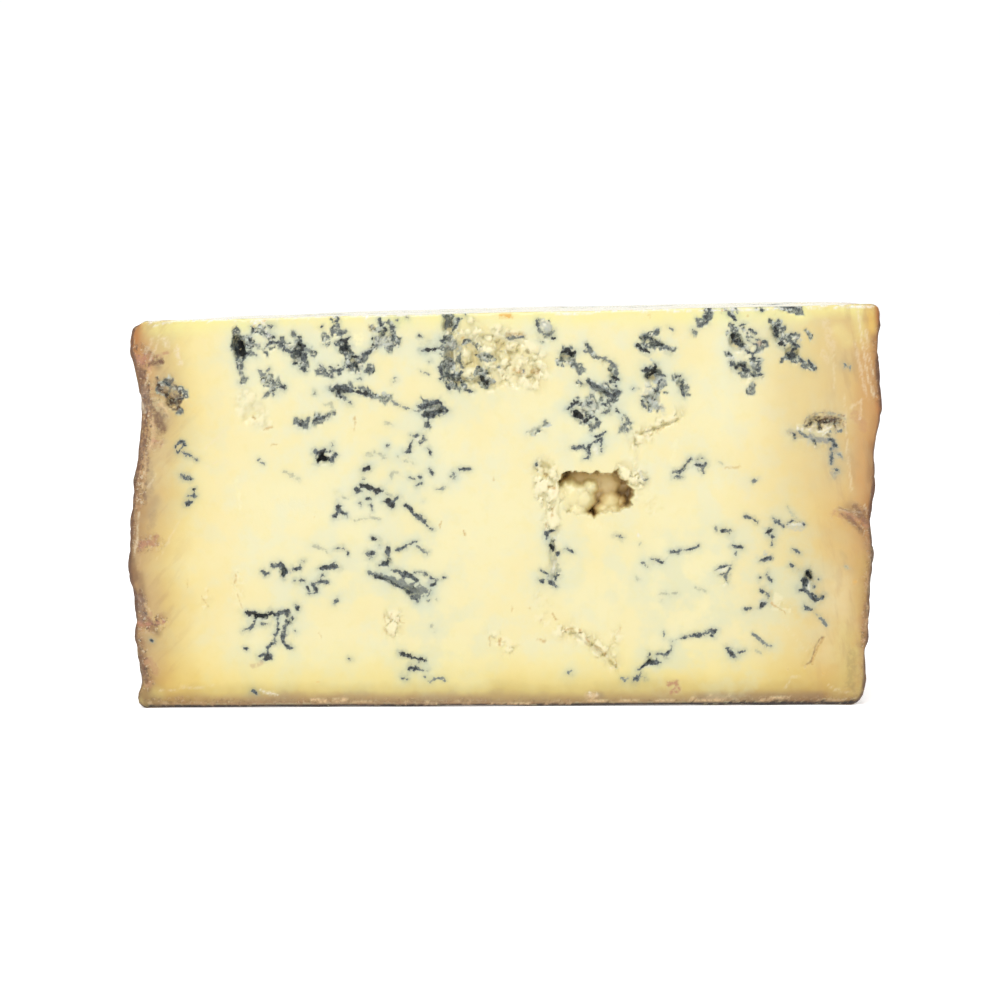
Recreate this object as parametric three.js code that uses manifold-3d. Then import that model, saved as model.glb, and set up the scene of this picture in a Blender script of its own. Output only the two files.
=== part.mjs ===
/**
 * A half round of Stilton: a wheel cut level through its middle, then straight down its diameter.
 *
 * It is made the way the cheese is made and cut. A drum with a rough natural rind is turned first,
 * a level cut takes off everything above it, an upright cut takes away the near half, and what
 * breaks or opens at the cut faces follows: mould pockets, cracks, one deep hollow and loose curd.
 *
 * Millimetres, +Z up. The upright cut face looks along -Y and +X is to its right. The origin is
 * below the middle of the solid's box, on the surface that the cheese stands on.
 */
import * as THREE from "three";
import { mergeVertices } from "three/addons/utils/BufferGeometryUtils.js";
import Module from "manifold-3d";

// Driving dimensions of the wheel
const WHEEL_RADIUS = 99;
const WHEEL_HEIGHT = 116;
const RIND_COLUMNS = 116;
const RIND_ROW_STEP = 3.8;
const HEEL_ROWS = [0, 0.8, 2, 3.6];

// The rind's outline where the upright cut crosses it: [height, radius] from the foot up
const LEFT_EDGE = [
  [0, 96.8], [0.8, 98.3], [2, 99.0], [3.6, 99.2], [7, 97.7], [10, 97.7], [13, 98.4], [19, 99.6],
  [26, 99.0], [31, 99.0], [35, 100.6], [39, 101.0], [43, 100.4], [49, 100.3], [55, 99.5],
  [61, 99.1], [68, 98.0], [75, 97.3], [81, 97.0], [87, 98.0], [91, 98.8], [96, 100.0],
  [100, 99.7], [102.4, 98.8], [106, 94.5], [116, 93],
];
const RIGHT_EDGE = [
  [0, 93.0], [0.8, 94.2], [2, 95.4], [5.7, 96.5], [15, 96.6], [19, 97.5], [29, 97.3], [35, 98.0],
  [41, 98.7], [45, 98.1], [50, 97.4], [57, 98.4], [61, 98.9], [69, 98.9], [73, 99.4], [77, 100.5],
  [83, 100.4], [90, 99.3], [93, 99.6], [105.5, 100.3], [107.5, 99.3], [116, 96],
];
const RIND_SWELL = 1.3;
const RIND_SWELL_SIZE = 31;
const RIND_LUMP = 0.7;
const RIND_LUMP_SIZE = 13;

// The level cut: its height along the upright face, and how it twists towards the back
const CUT_HEIGHT = 105.7;
const CUT_RISE = 0.0168;
const CUT_TWIST = 0.8;
const CUT_TWIST_REACH = 90;
const CUT_TWIST_START = 12;
const KNIFE_WAVE = 0.25;
const KNIFE_WAVE_SIZE = 47;
const KNIFE_STEP = 14;
const KNIFE_BLOCK = 240;

// Shape of what opens at the cut faces
const RAGGED = 0.3;
const RAGGED_SIZE = 1.6;
const LONG_POCKET = 7.1;
const LARGE_CURD = 2.3;
const MERGE_STEP = 1e-4;

// Mould pockets in the upright face: [x, z, wide, high, deep, turn in degrees anticlockwise]
const MOULD_POCKETS = [
  // upper left
  [-70.7, 96.5, 3.4, 7.2, 3.6, 5], [-55.2, 95.0, 2.8, 7, 2.6, -10],
  [-42.5, 96.0, 3.2, 3.8, 3, 0], [-40.0, 92.2, 2, 4.8, 2.2, 30], [-31.6, 99.5, 4.4, 5.8, 1.8, 0],
  // the fissure below the top edge
  [-15.0, 101.6, 3.6, 8.6, 2.6, 5], [-14.8, 92.0, 3.8, 12, 3, 0], [-12.0, 87.4, 7, 4.8, 3, -20],
  [-6.4, 87.6, 5.4, 3.2, 2.2, -25],
  // left half, down to the foot
  [-43.8, 84.3, 6, 3, 1.8, -8], [-19.0, 79.2, 6.4, 3.8, 2, 20], [-48.2, 67.0, 5, 4, 2.6, 30],
  [-32.5, 39.8, 6, 3, 1.4, -30], [-32.0, 33.4, 11, 2.4, 1.3, -25],
  [-25.6, 30.8, 6, 4, 1.9, -15], [-59.0, 36.2, 4.4, 3.4, 1.6, 10], [-66.0, 24.6, 7.4, 1.8, 1.3, -5],
  [-57.8, 21.5, 1.8, 10.5, 1.3, 5],
  // right of the fissure
  [16.6, 94.0, 5, 3.4, 2.4, 15], [27.7, 89.8, 2.2, 7.4, 1.9, 25], [24.0, 84.7, 9, 1.8, 1.6, -28],
  [20.2, 78.2, 6.4, 4.4, 1.9, -30], [39.0, 97.5, 8.8, 2.4, 1.9, -20], [39.3, 88.8, 5, 4, 3, 30],
  [39.3, 81.6, 5, 5.4, 1.4, 0], [46.7, 86.0, 2.4, 5, 1.9, 10], [61.5, 97.5, 4.8, 5.2, 2.5, 20],
  [63.5, 89.0, 7.4, 5.4, 2.1, -25], [71.5, 99.5, 3.8, 6, 2.3, 15], [76.5, 94.3, 4.8, 4.8, 2.5, 0],
  // right end
  [84.8, 75.9, 10.6, 3.6, 4.4, 6], [81.0, 70.5, 8.6, 4.4, 1.9, -20], [49.5, 64.2, 7.4, 3.2, 1.6, 35],
  [12.6, 39.5, 2.6, 12, 1.6, 0], [81.0, 33.5, 3.4, 7, 2.5, -10],
  [84.0, 29.0, 5, 2.6, 1.6, -35], [58.0, 33.9, 5.4, 4, 1.7, 0], [39.7, 12.9, 8.4, 1.8, 1.2, 40],
  // left end, under the rind
  [-89.3, 83.0, 6, 5.6, 1.5, 0],
];

// Cracks in the bare paste, in the same order of sizes
const CRACKS = [
  [82.2, 14.0, 1.4, 11, 1.9, -34], [18.4, 19.2, 6.8, 1.5, 1.3, -29], [24.1, 15.3, 7.6, 1.7, 1.5, -36],
  [28.8, 11.0, 5.4, 1.3, 1.2, -48], [40.9, 74.8, 12.4, 1.2, 1.2, 21], [35.0, 69.5, 1.2, 7, 1.2, 5],
  [-67.2, 79.2, 8, 4, 1.2, 40], [10.5, 63.3, 7.5, 3.6, 1.6, -35], [92.5, 49.5, 10, 1.7, 1.6, 30],
];

// The deep hollow right of the middle, and the curds that stand in it: [x, z, y, radius, squash]
const HOLLOW = [
  [20.6, 59.0, 12.6, 7.6, 8, 8], [27.6, 58.0, 12, 9.6, 9.5, -18], [28.6, 53.6, 9.4, 7, 8, 10],
  [19.4, 55.8, 9.6, 9, 6, 0],
];
const HOLLOW_CURDS = [
  [18.4, 55.0, 4.2, 4.6, 0.86], [22.2, 57.2, 3.2, 2.9, 0.9], [21.4, 52.8, 3.4, 3.1, 0.8],
  [28.4, 53.2, 6.4, 3.9, 0.86], [31.4, 55.4, 8.2, 3.2, 1],
];

// The crumbled patch right of the fissure: its shallow bays, then its curds as [x, z, radius]
const PATCH_BAYS = [
  [-9.5, 92.6, 9, 15, 2.5, 8], [-1.5, 95.6, 13, 8, 2.3, -8], [4.5, 90.2, 12, 8.6, 2.1, 12],
  [-4.5, 87.6, 8, 6.4, 2.2, 0], [10.6, 100.4, 7, 6, 1.7, 0],
];
const PATCH_CURDS = [
  [-15.4, 100, 1.2], [-13.8, 97, 1.5], [-10.6, 94.2, 2.2], [-4.7, 96.6, 2.7], [2, 96.6, 2.1],
  [4.5, 96.1, 1.6], [10.8, 100.9, 2.5], [0, 93.4, 2.1], [5.2, 90.6, 2.5], [-13.4, 90, 2.2],
  [-9.1, 89.2, 2.4], [-10.4, 86, 1.9], [-7, 86, 1.4], [-4.6, 88, 1.4], [5.2, 86.1, 2.4],
  [-3.8, 91.2, 1.7], [9.2, 92, 1.9],
];
const PATCH_CURD_SINK = 0.75;

// Pockets in the level cut
const TOP_POCKETS = 14;
const TOP_REACH = 84;
const TOP_SEED = 5;

const PASTE_COLOUR = 0xf1e3b4;

const wasm = await Module();
wasm.setup();

/** A repeatable source of numbers from 0 to 1. */
function seededRandom(seed) {
  let state = seed;
  return () => {
    state = (state * 1664525 + 1013904223) % 4294967296;
    return state / 4294967296;
  };
}

/** A closed geometry as a solid, with its doubled vertices joined and its flat slivers dropped. */
function solidOf(geometry) {
  const bare = geometry.clone();
  bare.deleteAttribute("normal");
  bare.deleteAttribute("uv");
  const merged = mergeVertices(bare, MERGE_STEP);
  const corners = merged.index.array;
  const kept = [];
  for (let i = 0; i < corners.length; i += 3) {
    const [a, b, c] = [corners[i], corners[i + 1], corners[i + 2]];
    if (a !== b && b !== c && c !== a) kept.push(a, b, c);
  }
  return new wasm.Manifold(new wasm.Mesh({
    numProp: 3,
    vertProperties: new Float32Array(merged.attributes.position.array),
    triVerts: new Uint32Array(kept),
  }));
}

/** Moves every vertex of a geometry by a function that changes the point it is given. */
function reshape(geometry, change) {
  const places = geometry.attributes.position;
  const point = new THREE.Vector3();
  for (let i = 0; i < places.count; i += 1) {
    point.fromBufferAttribute(places, i);
    change(point);
    places.setXYZ(i, point.x, point.y, point.z);
  }
  return geometry;
}

/** Smooth unevenness from -1 to 1 with bumps of about the given size. */
function unevenness(x, y, z, size) {
  const k = (2 * Math.PI) / size;
  const bend = Math.sin(0.61 * k * y + 1.7) + Math.sin(0.53 * k * z + 0.4);
  const first = Math.sin(k * x + bend);
  const second = Math.sin(0.87 * k * y + 1.3 * bend + 2.1);
  const third = Math.sin(1.13 * k * z - bend);
  return (first + second + third) / 3;
}

/** The radius at a height on one of the two edge outlines. */
function edgeRadius(edge, height) {
  const above = edge.findIndex(([level]) => level > height);
  if (above < 1) return edge[above === 0 ? 0 : edge.length - 1][1];
  const [lowLevel, lowRadius] = edge[above - 1];
  const [highLevel, highRadius] = edge[above];
  return THREE.MathUtils.mapLinear(height, lowLevel, highLevel, lowRadius, highRadius);
}

/** The rind's radius at an angle round the wheel, where 0 is the right edge and PI the left. */
function rindRadius(angle, height) {
  const toLeft = 0.5 - 0.5 * Math.cos(angle);
  const right = edgeRadius(RIGHT_EDGE, height);
  const left = edgeRadius(LEFT_EDGE, height);
  const away = Math.min(1, 4 * Math.abs(Math.sin(angle)));
  const x = WHEEL_RADIUS * Math.cos(angle);
  const y = WHEEL_RADIUS * Math.sin(angle);
  const swell = RIND_SWELL * unevenness(x, y, height, RIND_SWELL_SIZE);
  const lump = RIND_LUMP * unevenness(y, x, height, RIND_LUMP_SIZE);
  return THREE.MathUtils.lerp(right, left, toLeft) + away * (swell + lump);
}

/** The whole wheel, turned about its axis and then made uneven. */
function wheel() {
  const profile = HEEL_ROWS.map((height) => new THREE.Vector2(WHEEL_RADIUS, height));
  const firstRow = HEEL_ROWS[HEEL_ROWS.length - 1] + RIND_ROW_STEP;
  for (let height = firstRow; height < WHEEL_HEIGHT; height += RIND_ROW_STEP) {
    profile.push(new THREE.Vector2(WHEEL_RADIUS, height));
  }
  profile.unshift(new THREE.Vector2(0, 0));
  profile.push(new THREE.Vector2(WHEEL_RADIUS, WHEEL_HEIGHT), new THREE.Vector2(0, WHEEL_HEIGHT));
  const drum = new THREE.LatheGeometry(profile, RIND_COLUMNS);
  drum.rotateX(Math.PI / 2);
  drum.deleteAttribute("normal");
  drum.deleteAttribute("uv");
  return reshape(mergeVertices(drum, MERGE_STEP), (point) => {
    const angle = Math.atan2(point.y, point.x);
    const scale = rindRadius(angle, point.z) / WHEEL_RADIUS;
    point.x *= scale;
    point.y *= scale;
  });
}

/** Height of the level cut above a point of the plan. */
function cutHeight(x, y) {
  const twist = CUT_TWIST * (x / CUT_TWIST_REACH) ** 3 * (1 - Math.exp(-y / CUT_TWIST_START));
  const wave = KNIFE_WAVE * unevenness(x, y, 0, KNIFE_WAVE_SIZE);
  return CUT_HEIGHT + CUT_RISE * x + twist + wave;
}

/** What the level cut takes away: all that lies above cutHeight. */
function aboveTheCut() {
  const steps = Math.round(KNIFE_BLOCK / KNIFE_STEP);
  const block = new THREE.BoxGeometry(KNIFE_BLOCK, KNIFE_BLOCK, WHEEL_HEIGHT, steps, steps, 1);
  block.translate(0, 0, WHEEL_HEIGHT / 2);
  return reshape(block, (point) => {
    const onBlade = point.z < WHEEL_HEIGHT / 2;
    point.z += onBlade ? cutHeight(point.x, Math.max(0, point.y)) : CUT_HEIGHT;
  });
}

/** What the upright cut takes away: the near half of the wheel. */
function nearHalf() {
  const steps = Math.round(KNIFE_BLOCK / KNIFE_STEP);
  const block = new THREE.BoxGeometry(KNIFE_BLOCK, WHEEL_HEIGHT, KNIFE_BLOCK, steps, 1, steps);
  block.translate(0, -WHEEL_HEIGHT / 2, 0);
  return reshape(block, (point) => {
    const onBlade = point.y > -WHEEL_HEIGHT / 2;
    point.y += onBlade ? KNIFE_WAVE * unevenness(point.x, 0, point.z, KNIFE_WAVE_SIZE) : 0;
  });
}

/** A ragged round body of radius 1, different for each seed. */
function raggedBall(seed, detail) {
  const ball = new THREE.IcosahedronGeometry(1, detail);
  return reshape(ball, (point) => {
    const offset = 7.3 * seed;
    const reach = 1 + RAGGED * unevenness(point.x + offset, point.y, point.z - offset, RAGGED_SIZE);
    point.multiplyScalar(reach);
  });
}

/** A ragged pocket sunk into the upright face, with more facets when it is long or wide. */
function facePocket([x, z, wide, high, deep, turn], seed, extraDetail = 0) {
  const isLong = Math.max(wide, high) > LONG_POCKET;
  const pocket = raggedBall(seed, (isLong ? 1 : 0) + extraDetail);
  pocket.scale(wide / 2, deep, high / 2);
  pocket.rotateY(THREE.MathUtils.degToRad(-turn));
  pocket.translate(x, 0, z);
  return solidOf(pocket);
}

/** A curd that stands in a hollow of the upright face. */
function faceCurd([x, z, y, radius, squash], seed) {
  const curd = raggedBall(seed, radius > LARGE_CURD ? 1 : 0);
  curd.scale(radius, radius, radius * squash);
  curd.translate(x, y, z);
  return solidOf(curd);
}

/** Everything that opens in the upright face. */
function faceOpenings() {
  const small = [...MOULD_POCKETS, ...CRACKS].map((sizes, i) => facePocket(sizes, i + 1));
  const large = [...HOLLOW, ...PATCH_BAYS].map((sizes, i) => facePocket(sizes, i + 80, 1));
  return wasm.Manifold.union([...small, ...large]);
}

/** Ragged pockets in the level cut, spread over it by a seeded draw. */
function topOpenings() {
  const random = seededRandom(TOP_SEED);
  const pockets = [];
  while (pockets.length < TOP_POCKETS) {
    const x = TOP_REACH * (2 * random() - 1);
    const y = TOP_REACH * random();
    if (Math.hypot(x, y) > TOP_REACH || y < 8) continue;
    const pocket = raggedBall(pockets.length + 120, 0);
    pocket.scale(1.6 + 2.4 * random(), 0.8 + 1.4 * random(), 1 + 1.6 * random());
    pocket.rotateZ(Math.PI * random());
    pocket.translate(x, y, cutHeight(x, y));
    pockets.push(solidOf(pocket));
  }
  return wasm.Manifold.union(pockets);
}

/** The curds in the hollow, and those that crumbled in the patch beside the fissure. */
function curds() {
  const inHollow = HOLLOW_CURDS.map((sizes, i) => faceCurd(sizes, i + 160));
  const inPatch = PATCH_CURDS.map(([x, z, radius], i) => {
    const squash = 0.9 + 0.15 * Math.sin(i);
    return faceCurd([x, z, PATCH_CURD_SINK * radius, radius, squash], i + 180);
  });
  return wasm.Manifold.union([...inHollow, ...inPatch]);
}

/** The largest connected body of a solid, without scraps or sealed bubbles. */
function mainBody(solid) {
  const bodies = solid.decompose();
  return bodies.reduce((best, body) => (body.volume() > best.volume() ? body : best));
}

/** A solid as a geometry whose box stands centred over the origin. */
function standingGeometry(solid) {
  const mesh = solid.getMesh();
  const geometry = new THREE.BufferGeometry();
  geometry.setAttribute("position", new THREE.BufferAttribute(mesh.vertProperties, 3));
  geometry.setIndex(new THREE.BufferAttribute(mesh.triVerts, 1));
  geometry.computeBoundingBox();
  const box = geometry.boundingBox;
  geometry.translate(-(box.min.x + box.max.x) / 2, -(box.min.y + box.max.y) / 2, -box.min.z);
  geometry.computeVertexNormals();
  return geometry;
}

/** The half round, with its relief. */
function halfRound() {
  const whole = solidOf(wheel());
  const cut = whole.subtract(solidOf(aboveTheCut())).subtract(solidOf(nearHalf()));
  const opened = cut.subtract(faceOpenings()).subtract(topOpenings());
  const inside = curds().intersect(cut);
  return mainBody(opened.add(inside));
}

const paste = new THREE.MeshStandardMaterial({ color: PASTE_COLOUR, roughness: 0.55, metalness: 0 });
const cheese = new THREE.Mesh(standingGeometry(halfRound()), paste);
cheese.name = "cheese";

const stilton = new THREE.Group();
stilton.add(cheese);

export default stilton;
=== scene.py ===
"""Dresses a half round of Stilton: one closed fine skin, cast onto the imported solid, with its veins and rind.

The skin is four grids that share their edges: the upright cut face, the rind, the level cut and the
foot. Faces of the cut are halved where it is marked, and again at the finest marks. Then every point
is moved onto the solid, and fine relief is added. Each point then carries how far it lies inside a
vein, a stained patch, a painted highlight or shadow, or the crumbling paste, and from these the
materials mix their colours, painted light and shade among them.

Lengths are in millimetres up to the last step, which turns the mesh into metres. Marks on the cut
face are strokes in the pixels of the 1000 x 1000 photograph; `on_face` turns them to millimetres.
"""

import math
from itertools import product

import bmesh
import bpy
import numpy as np
from mathutils import Matrix, Vector
from mathutils.bvhtree import BVHTree


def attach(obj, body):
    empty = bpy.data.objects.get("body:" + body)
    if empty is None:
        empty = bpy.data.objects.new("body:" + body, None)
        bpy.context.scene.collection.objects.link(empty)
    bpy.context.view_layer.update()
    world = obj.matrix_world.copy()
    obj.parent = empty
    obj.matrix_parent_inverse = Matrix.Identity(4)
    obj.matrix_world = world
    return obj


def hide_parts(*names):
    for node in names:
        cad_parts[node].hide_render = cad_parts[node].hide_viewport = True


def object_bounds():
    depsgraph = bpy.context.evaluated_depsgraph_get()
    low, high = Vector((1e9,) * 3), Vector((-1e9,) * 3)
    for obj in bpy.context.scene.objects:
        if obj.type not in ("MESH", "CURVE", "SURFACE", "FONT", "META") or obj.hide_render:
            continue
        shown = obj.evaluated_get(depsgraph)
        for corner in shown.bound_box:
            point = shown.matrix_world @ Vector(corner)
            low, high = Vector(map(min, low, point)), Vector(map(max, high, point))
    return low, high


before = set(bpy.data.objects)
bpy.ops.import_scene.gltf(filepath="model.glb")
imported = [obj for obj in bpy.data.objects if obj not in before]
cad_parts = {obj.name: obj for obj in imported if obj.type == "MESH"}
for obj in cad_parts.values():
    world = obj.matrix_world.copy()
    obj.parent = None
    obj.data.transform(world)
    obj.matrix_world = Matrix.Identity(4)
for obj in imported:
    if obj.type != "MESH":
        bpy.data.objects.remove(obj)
cad_low, cad_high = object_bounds()

MM = 0.001

# ---------------------------------------------------------------- camera
# The lens looks a little down at the cut face, from in front of its middle
CAMERA_DISTANCE = 850
CAMERA_HEIGHT = 118
CAMERA_RIGHT = -1.19
CAMERA_PITCH = math.radians(-4.2)
CAMERA_ROLL = math.radians(-0.25)
CAMERA_LENS = 114.9
SENSOR_WIDTH = 36
IMAGE_SIZE = 1000
# The nearest and the furthest that it sees, in metres
CAMERA_CLIP = (0.01, 50)

# ---------------------------------------------------------------- size of the skin's grids
COLUMNS = 200
ROWS = 76
TOP_ROWS = 44
FOOT_ROWS = 12
# A face of the cut is halved this near to a mark, in mm, and halved again this near to a fine one
HALVE_NEAR = 0.7
QUARTER_NEAR = 0.05
# The same where the paste is this crumbly or this soiled, 0 to 1, and in the strips at the sides,
# further from the middle than this, and along the foot, lower than this, in mm
HALVE_CRUMBLY = 0.3
QUARTER_CRUMBLY = 0.65
HALVE_DIRTY = 0.3
SIDE_STRIP = 91
FOOT_STRIP = 5
# How far from a stroke marks are looked for, and what stands for none found, in mm
MARK_SEARCH = 3
NO_MARK = 9.0
# The four surfaces of the skin
FRONT, RIND, TOP, FOOT = 0, 1, 2, 3
# The cut face's plane lies behind the front of the solid's box by the wave that the knife left
KNIFE_WAVE = 0.25
FACE_Y = cad_low.y / MM + KNIFE_WAVE

# ---------------------------------------------------------------- marks on the cut face
# Veins: [width, tone, x, y, x, y, ...] in pixels of the photograph; one point makes a dot
BLACK, DARK, GREY, FAINT = 1.0, 0.78, 0.5, 0.25

VEINS_UPPER_LEFT = [
    [11, BLACK, 240, 345, 243, 352], [5, DARK, 236, 348, 237, 355], [2, GREY, 238, 333, 242, 338],
    [2, BLACK, 249, 338, 251, 342], [3, GREY, 250, 343, 258, 345], [2, GREY, 250, 350, 256, 356],
    [2, DARK, 251, 327, 252, 332], [1, DARK, 235, 357, 237, 363, 240, 370],
    [2, DARK, 245, 356, 242, 362, 241, 369], [3.5, GREY, 241, 371, 244, 378],
    [1.5, DARK, 241, 382, 242, 384], [1.5, DARK, 267, 325, 274, 326], [2, DARK, 262, 333, 267, 334],
    [2, BLACK, 271, 335, 274, 337], [1.5, DARK, 265, 347, 270, 343, 278, 342, 286, 342],
    [3, DARK, 280, 343, 284, 348, 290, 351, 299, 352], [2, DARK, 293, 334, 299, 338, 301, 346],
    [3, BLACK, 299, 345, 304, 346, 301, 351], [3, GREY, 303, 347, 312, 352],
    [6, DARK, 296, 353, 304, 356, 305, 364], [2, DARK, 293, 363, 298, 366],
    [2, DARK, 300, 368, 306, 371], [3.5, GREY, 260, 371, 264, 375, 269, 370],
    [1.5, DARK, 270, 381], [1.5, DARK, 273, 386], [2, BLACK, 275, 390], [3, BLACK, 284, 388],
    [2, GREY, 274, 394], [2.5, BLACK, 315, 393], [1.5, DARK, 321, 327],
]
VEINS_LEFT_OF_FISSURE = [
    [2, DARK, 336, 317, 338, 326], [1.5, GREY, 322, 345, 330, 342], [2, DARK, 340, 332, 345, 333],
    [2, BLACK, 341, 341, 345, 342, 349, 338], [5, DARK, 337, 345, 342, 350, 350, 347],
    [2, BLACK, 340, 351], [2, BLACK, 352, 356, 358, 357],
    [3, DARK, 345, 364, 351, 369, 357, 363, 363, 357, 370, 351, 378, 346],
    [1.5, BLACK, 373, 338, 373, 345], [2.5, DARK, 379, 320, 382, 326, 387, 331, 378, 334],
    [2, DARK, 390, 327, 396, 326], [2, DARK, 392, 330, 394, 342, 399, 344],
    [2, DARK, 388, 346, 393, 347], [2, DARK, 407, 316, 408, 318], [1.5, DARK, 398, 320],
    [1.5, DARK, 390, 312, 402, 311], [2.5, BLACK, 419, 336, 422, 337], [1.5, BLACK, 420, 351, 424, 352],
    [2, BLACK, 425, 351, 432, 349, 436, 348], [1.5, DARK, 430, 341], [1.5, DARK, 430, 361],
    [2, GREY, 421, 371, 427, 374], [1.5, GREY, 392, 382, 396, 379], [3, DARK, 363, 371, 371, 369],
    [2, GREY, 357, 378, 361, 379], [2, DARK, 320, 366, 326, 372, 333, 377],
    [2.5, DARK, 330, 368, 340, 371, 344, 368], [5, DARK, 330, 390, 338, 387, 346, 390, 352, 391],
    [2, BLACK, 337, 392, 340, 398], [2, GREY, 343, 397, 345, 401],
    [2, BLACK, 352, 391, 360, 393, 371, 395],
    [1.2, GREY, 372, 396, 390, 400, 398, 405, 405, 407, 413, 409, 420, 412],
    [1.5, DARK, 347, 401, 351, 404], [4, DARK, 420, 407, 430, 404, 440, 402, 444, 409, 447, 412],
    [4, DARK, 447, 412, 436, 413, 428, 417, 424, 415], [2.5, DARK, 427, 416, 428, 421, 429, 425, 427, 427],
]
VEINS_FISSURE = [
    [3, GREY, 447, 318, 446, 325, 444, 330], [2, DARK, 450, 318, 457, 318, 456, 328, 453, 330],
    [2, DARK, 441, 338, 446, 343], [2, GREY, 440, 353, 447, 358], [2.5, DARK, 441, 365, 441, 379],
    [2.5, DARK, 442, 372, 452, 375, 462, 373], [2.5, DARK, 452, 376, 457, 387],
    [3, DARK, 445, 383, 450, 390], [2, DARK, 463, 390, 473, 392], [2, GREY, 468, 340, 475, 346, 478, 350],
    [4, BLACK, 481, 377, 487, 384], [2, GREY, 480, 362, 484, 360], [1.5, GREY, 466, 380, 474, 378],
    [1.5, GREY, 499, 367], [1.5, DARK, 464, 310, 466, 316], [2, GREY, 524, 372],
    [2, DARK, 537, 320, 538, 326], [2, BLACK, 551, 338, 554, 338], [1.5, DARK, 540, 341, 543, 342],
    [1.5, GREY, 538, 322, 540, 332, 548, 335, 554, 330], [2, GREY, 506, 337, 524, 337],
    [3, GREY, 460, 352, 458, 362, 462, 368],
]
VEINS_RIGHT_OF_PATCH = [
    [4, BLACK, 563, 353, 568, 351, 571, 355, 575, 352], [2, GREY, 562, 358, 565, 363],
    [2, GREY, 572, 362, 578, 370], [2, DARK, 587, 344, 589, 347], [2, GREY, 584, 350, 592, 352],
    [3, GREY, 597, 358, 606, 360, 612, 362, 615, 368, 617, 374], [3, BLACK, 612, 376, 617, 379, 619, 379],
    [2, DARK, 610, 382, 616, 383], [2, DARK, 579, 380, 582, 385],
    [3, DARK, 587, 381, 592, 384, 597, 386, 604, 390], [4.5, DARK, 604, 392, 612, 396, 616, 392, 613, 399],
    [2, DARK, 617, 388], [4, DARK, 602, 402, 608, 406], [4, BLACK, 568, 409, 574, 405, 578, 402],
    [4.5, BLACK, 573, 411, 578, 416, 583, 420, 590, 417], [2, DARK, 588, 405, 592, 402],
    [1.5, DARK, 602, 413, 605, 413], [1.5, DARK, 610, 412], [2, DARK, 617, 411, 620, 413],
    [2, DARK, 590, 417, 598, 420], [2, GREY, 590, 420, 591, 428, 592, 432],
    [2, DARK, 593, 436, 598, 438, 604, 433], [2, DARK, 588, 446, 594, 443, 601, 440],
    [1.3, DARK, 602, 441, 603, 447, 601, 452], [2, DARK, 587, 448, 589, 453, 588, 458, 584, 458],
    [2, DARK, 572, 448, 577, 447, 583, 446, 586, 450], [2, GREY, 621, 423, 627, 423],
    [2, GREY, 622, 420, 624, 428, 628, 432], [2, FAINT, 527, 433, 541, 427, 547, 421],
    [2, FAINT, 543, 430],
]
VEINS_UPPER_RIGHT = [
    [3, BLACK, 638, 345, 641, 349, 648, 352], [3, DARK, 645, 335, 650, 338, 655, 342],
    [2, DARK, 655, 333, 658, 329], [3, DARK, 652, 340, 662, 345, 668, 349, 672, 352],
    [1.5, GREY, 669, 327, 673, 331], [6, BLACK, 645, 370, 650, 372, 655, 367], [2, DARK, 645, 376, 648, 378],
    [1.5, DARK, 655, 375, 664, 376], [2, DARK, 661, 380, 656, 390], [2, DARK, 634, 388],
    [2, GREY, 645, 397, 650, 395], [2, DARK, 642, 402, 646, 408], [2, BLACK, 675, 378, 680, 377],
    [3, DARK, 683, 382, 682, 390, 684, 394], [1.5, DARK, 692, 330, 694, 331],
    [2, DARK, 698, 327, 703, 325, 708, 321], [2, DARK, 708, 306, 710, 312, 706, 316, 707, 322],
    [2, GREY, 713, 308, 718, 306, 725, 309], [2.5, DARK, 728, 312, 732, 316, 735, 320],
    [2, GREY, 735, 306, 738, 314], [2, DARK, 756, 308], [2, DARK, 761, 310], [2, DARK, 740, 326, 745, 325],
    [6, BLACK, 732, 335, 736, 337], [2.5, DARK, 734, 340, 740, 345],
    [1.5, DARK, 741, 341, 745, 347, 748, 352, 753, 354, 756, 350], [1.2, DARK, 750, 330, 757, 333],
    [1.2, DARK, 748, 338, 760, 339], [1.2, DARK, 748, 341, 758, 344], [2, DARK, 762, 341, 766, 343],
    [2.5, DARK, 730, 362, 733, 366, 737, 368], [2, DARK, 729, 354, 731, 358],
    [2.5, BLACK, 741, 366, 745, 369],
    [4, DARK, 753, 360, 758, 362, 758, 370], [2.5, DARK, 745, 370, 750, 373, 756, 376, 760, 374],
    [2, FAINT, 755, 380, 752, 385, 748, 390], [2, DARK, 780, 306, 790, 307, 800, 310],
    [9, DARK, 776, 325, 778, 328], [4, DARK, 776, 331, 779, 337], [3, BLACK, 780, 342, 786, 346],
    [1.2, DARK, 783, 338, 795, 334], [2, DARK, 788, 340, 797, 345, 792, 352], [5, DARK, 788, 356, 793, 358],
    [2, DARK, 793, 352, 797, 356, 802, 364, 804, 367], [2.5, DARK, 809, 361, 813, 365, 815, 369],
    [1.5, FAINT, 811, 335], [1, GREY, 843, 364, 846, 367], [0.8, GREY, 849, 366, 851, 369],
]
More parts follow.
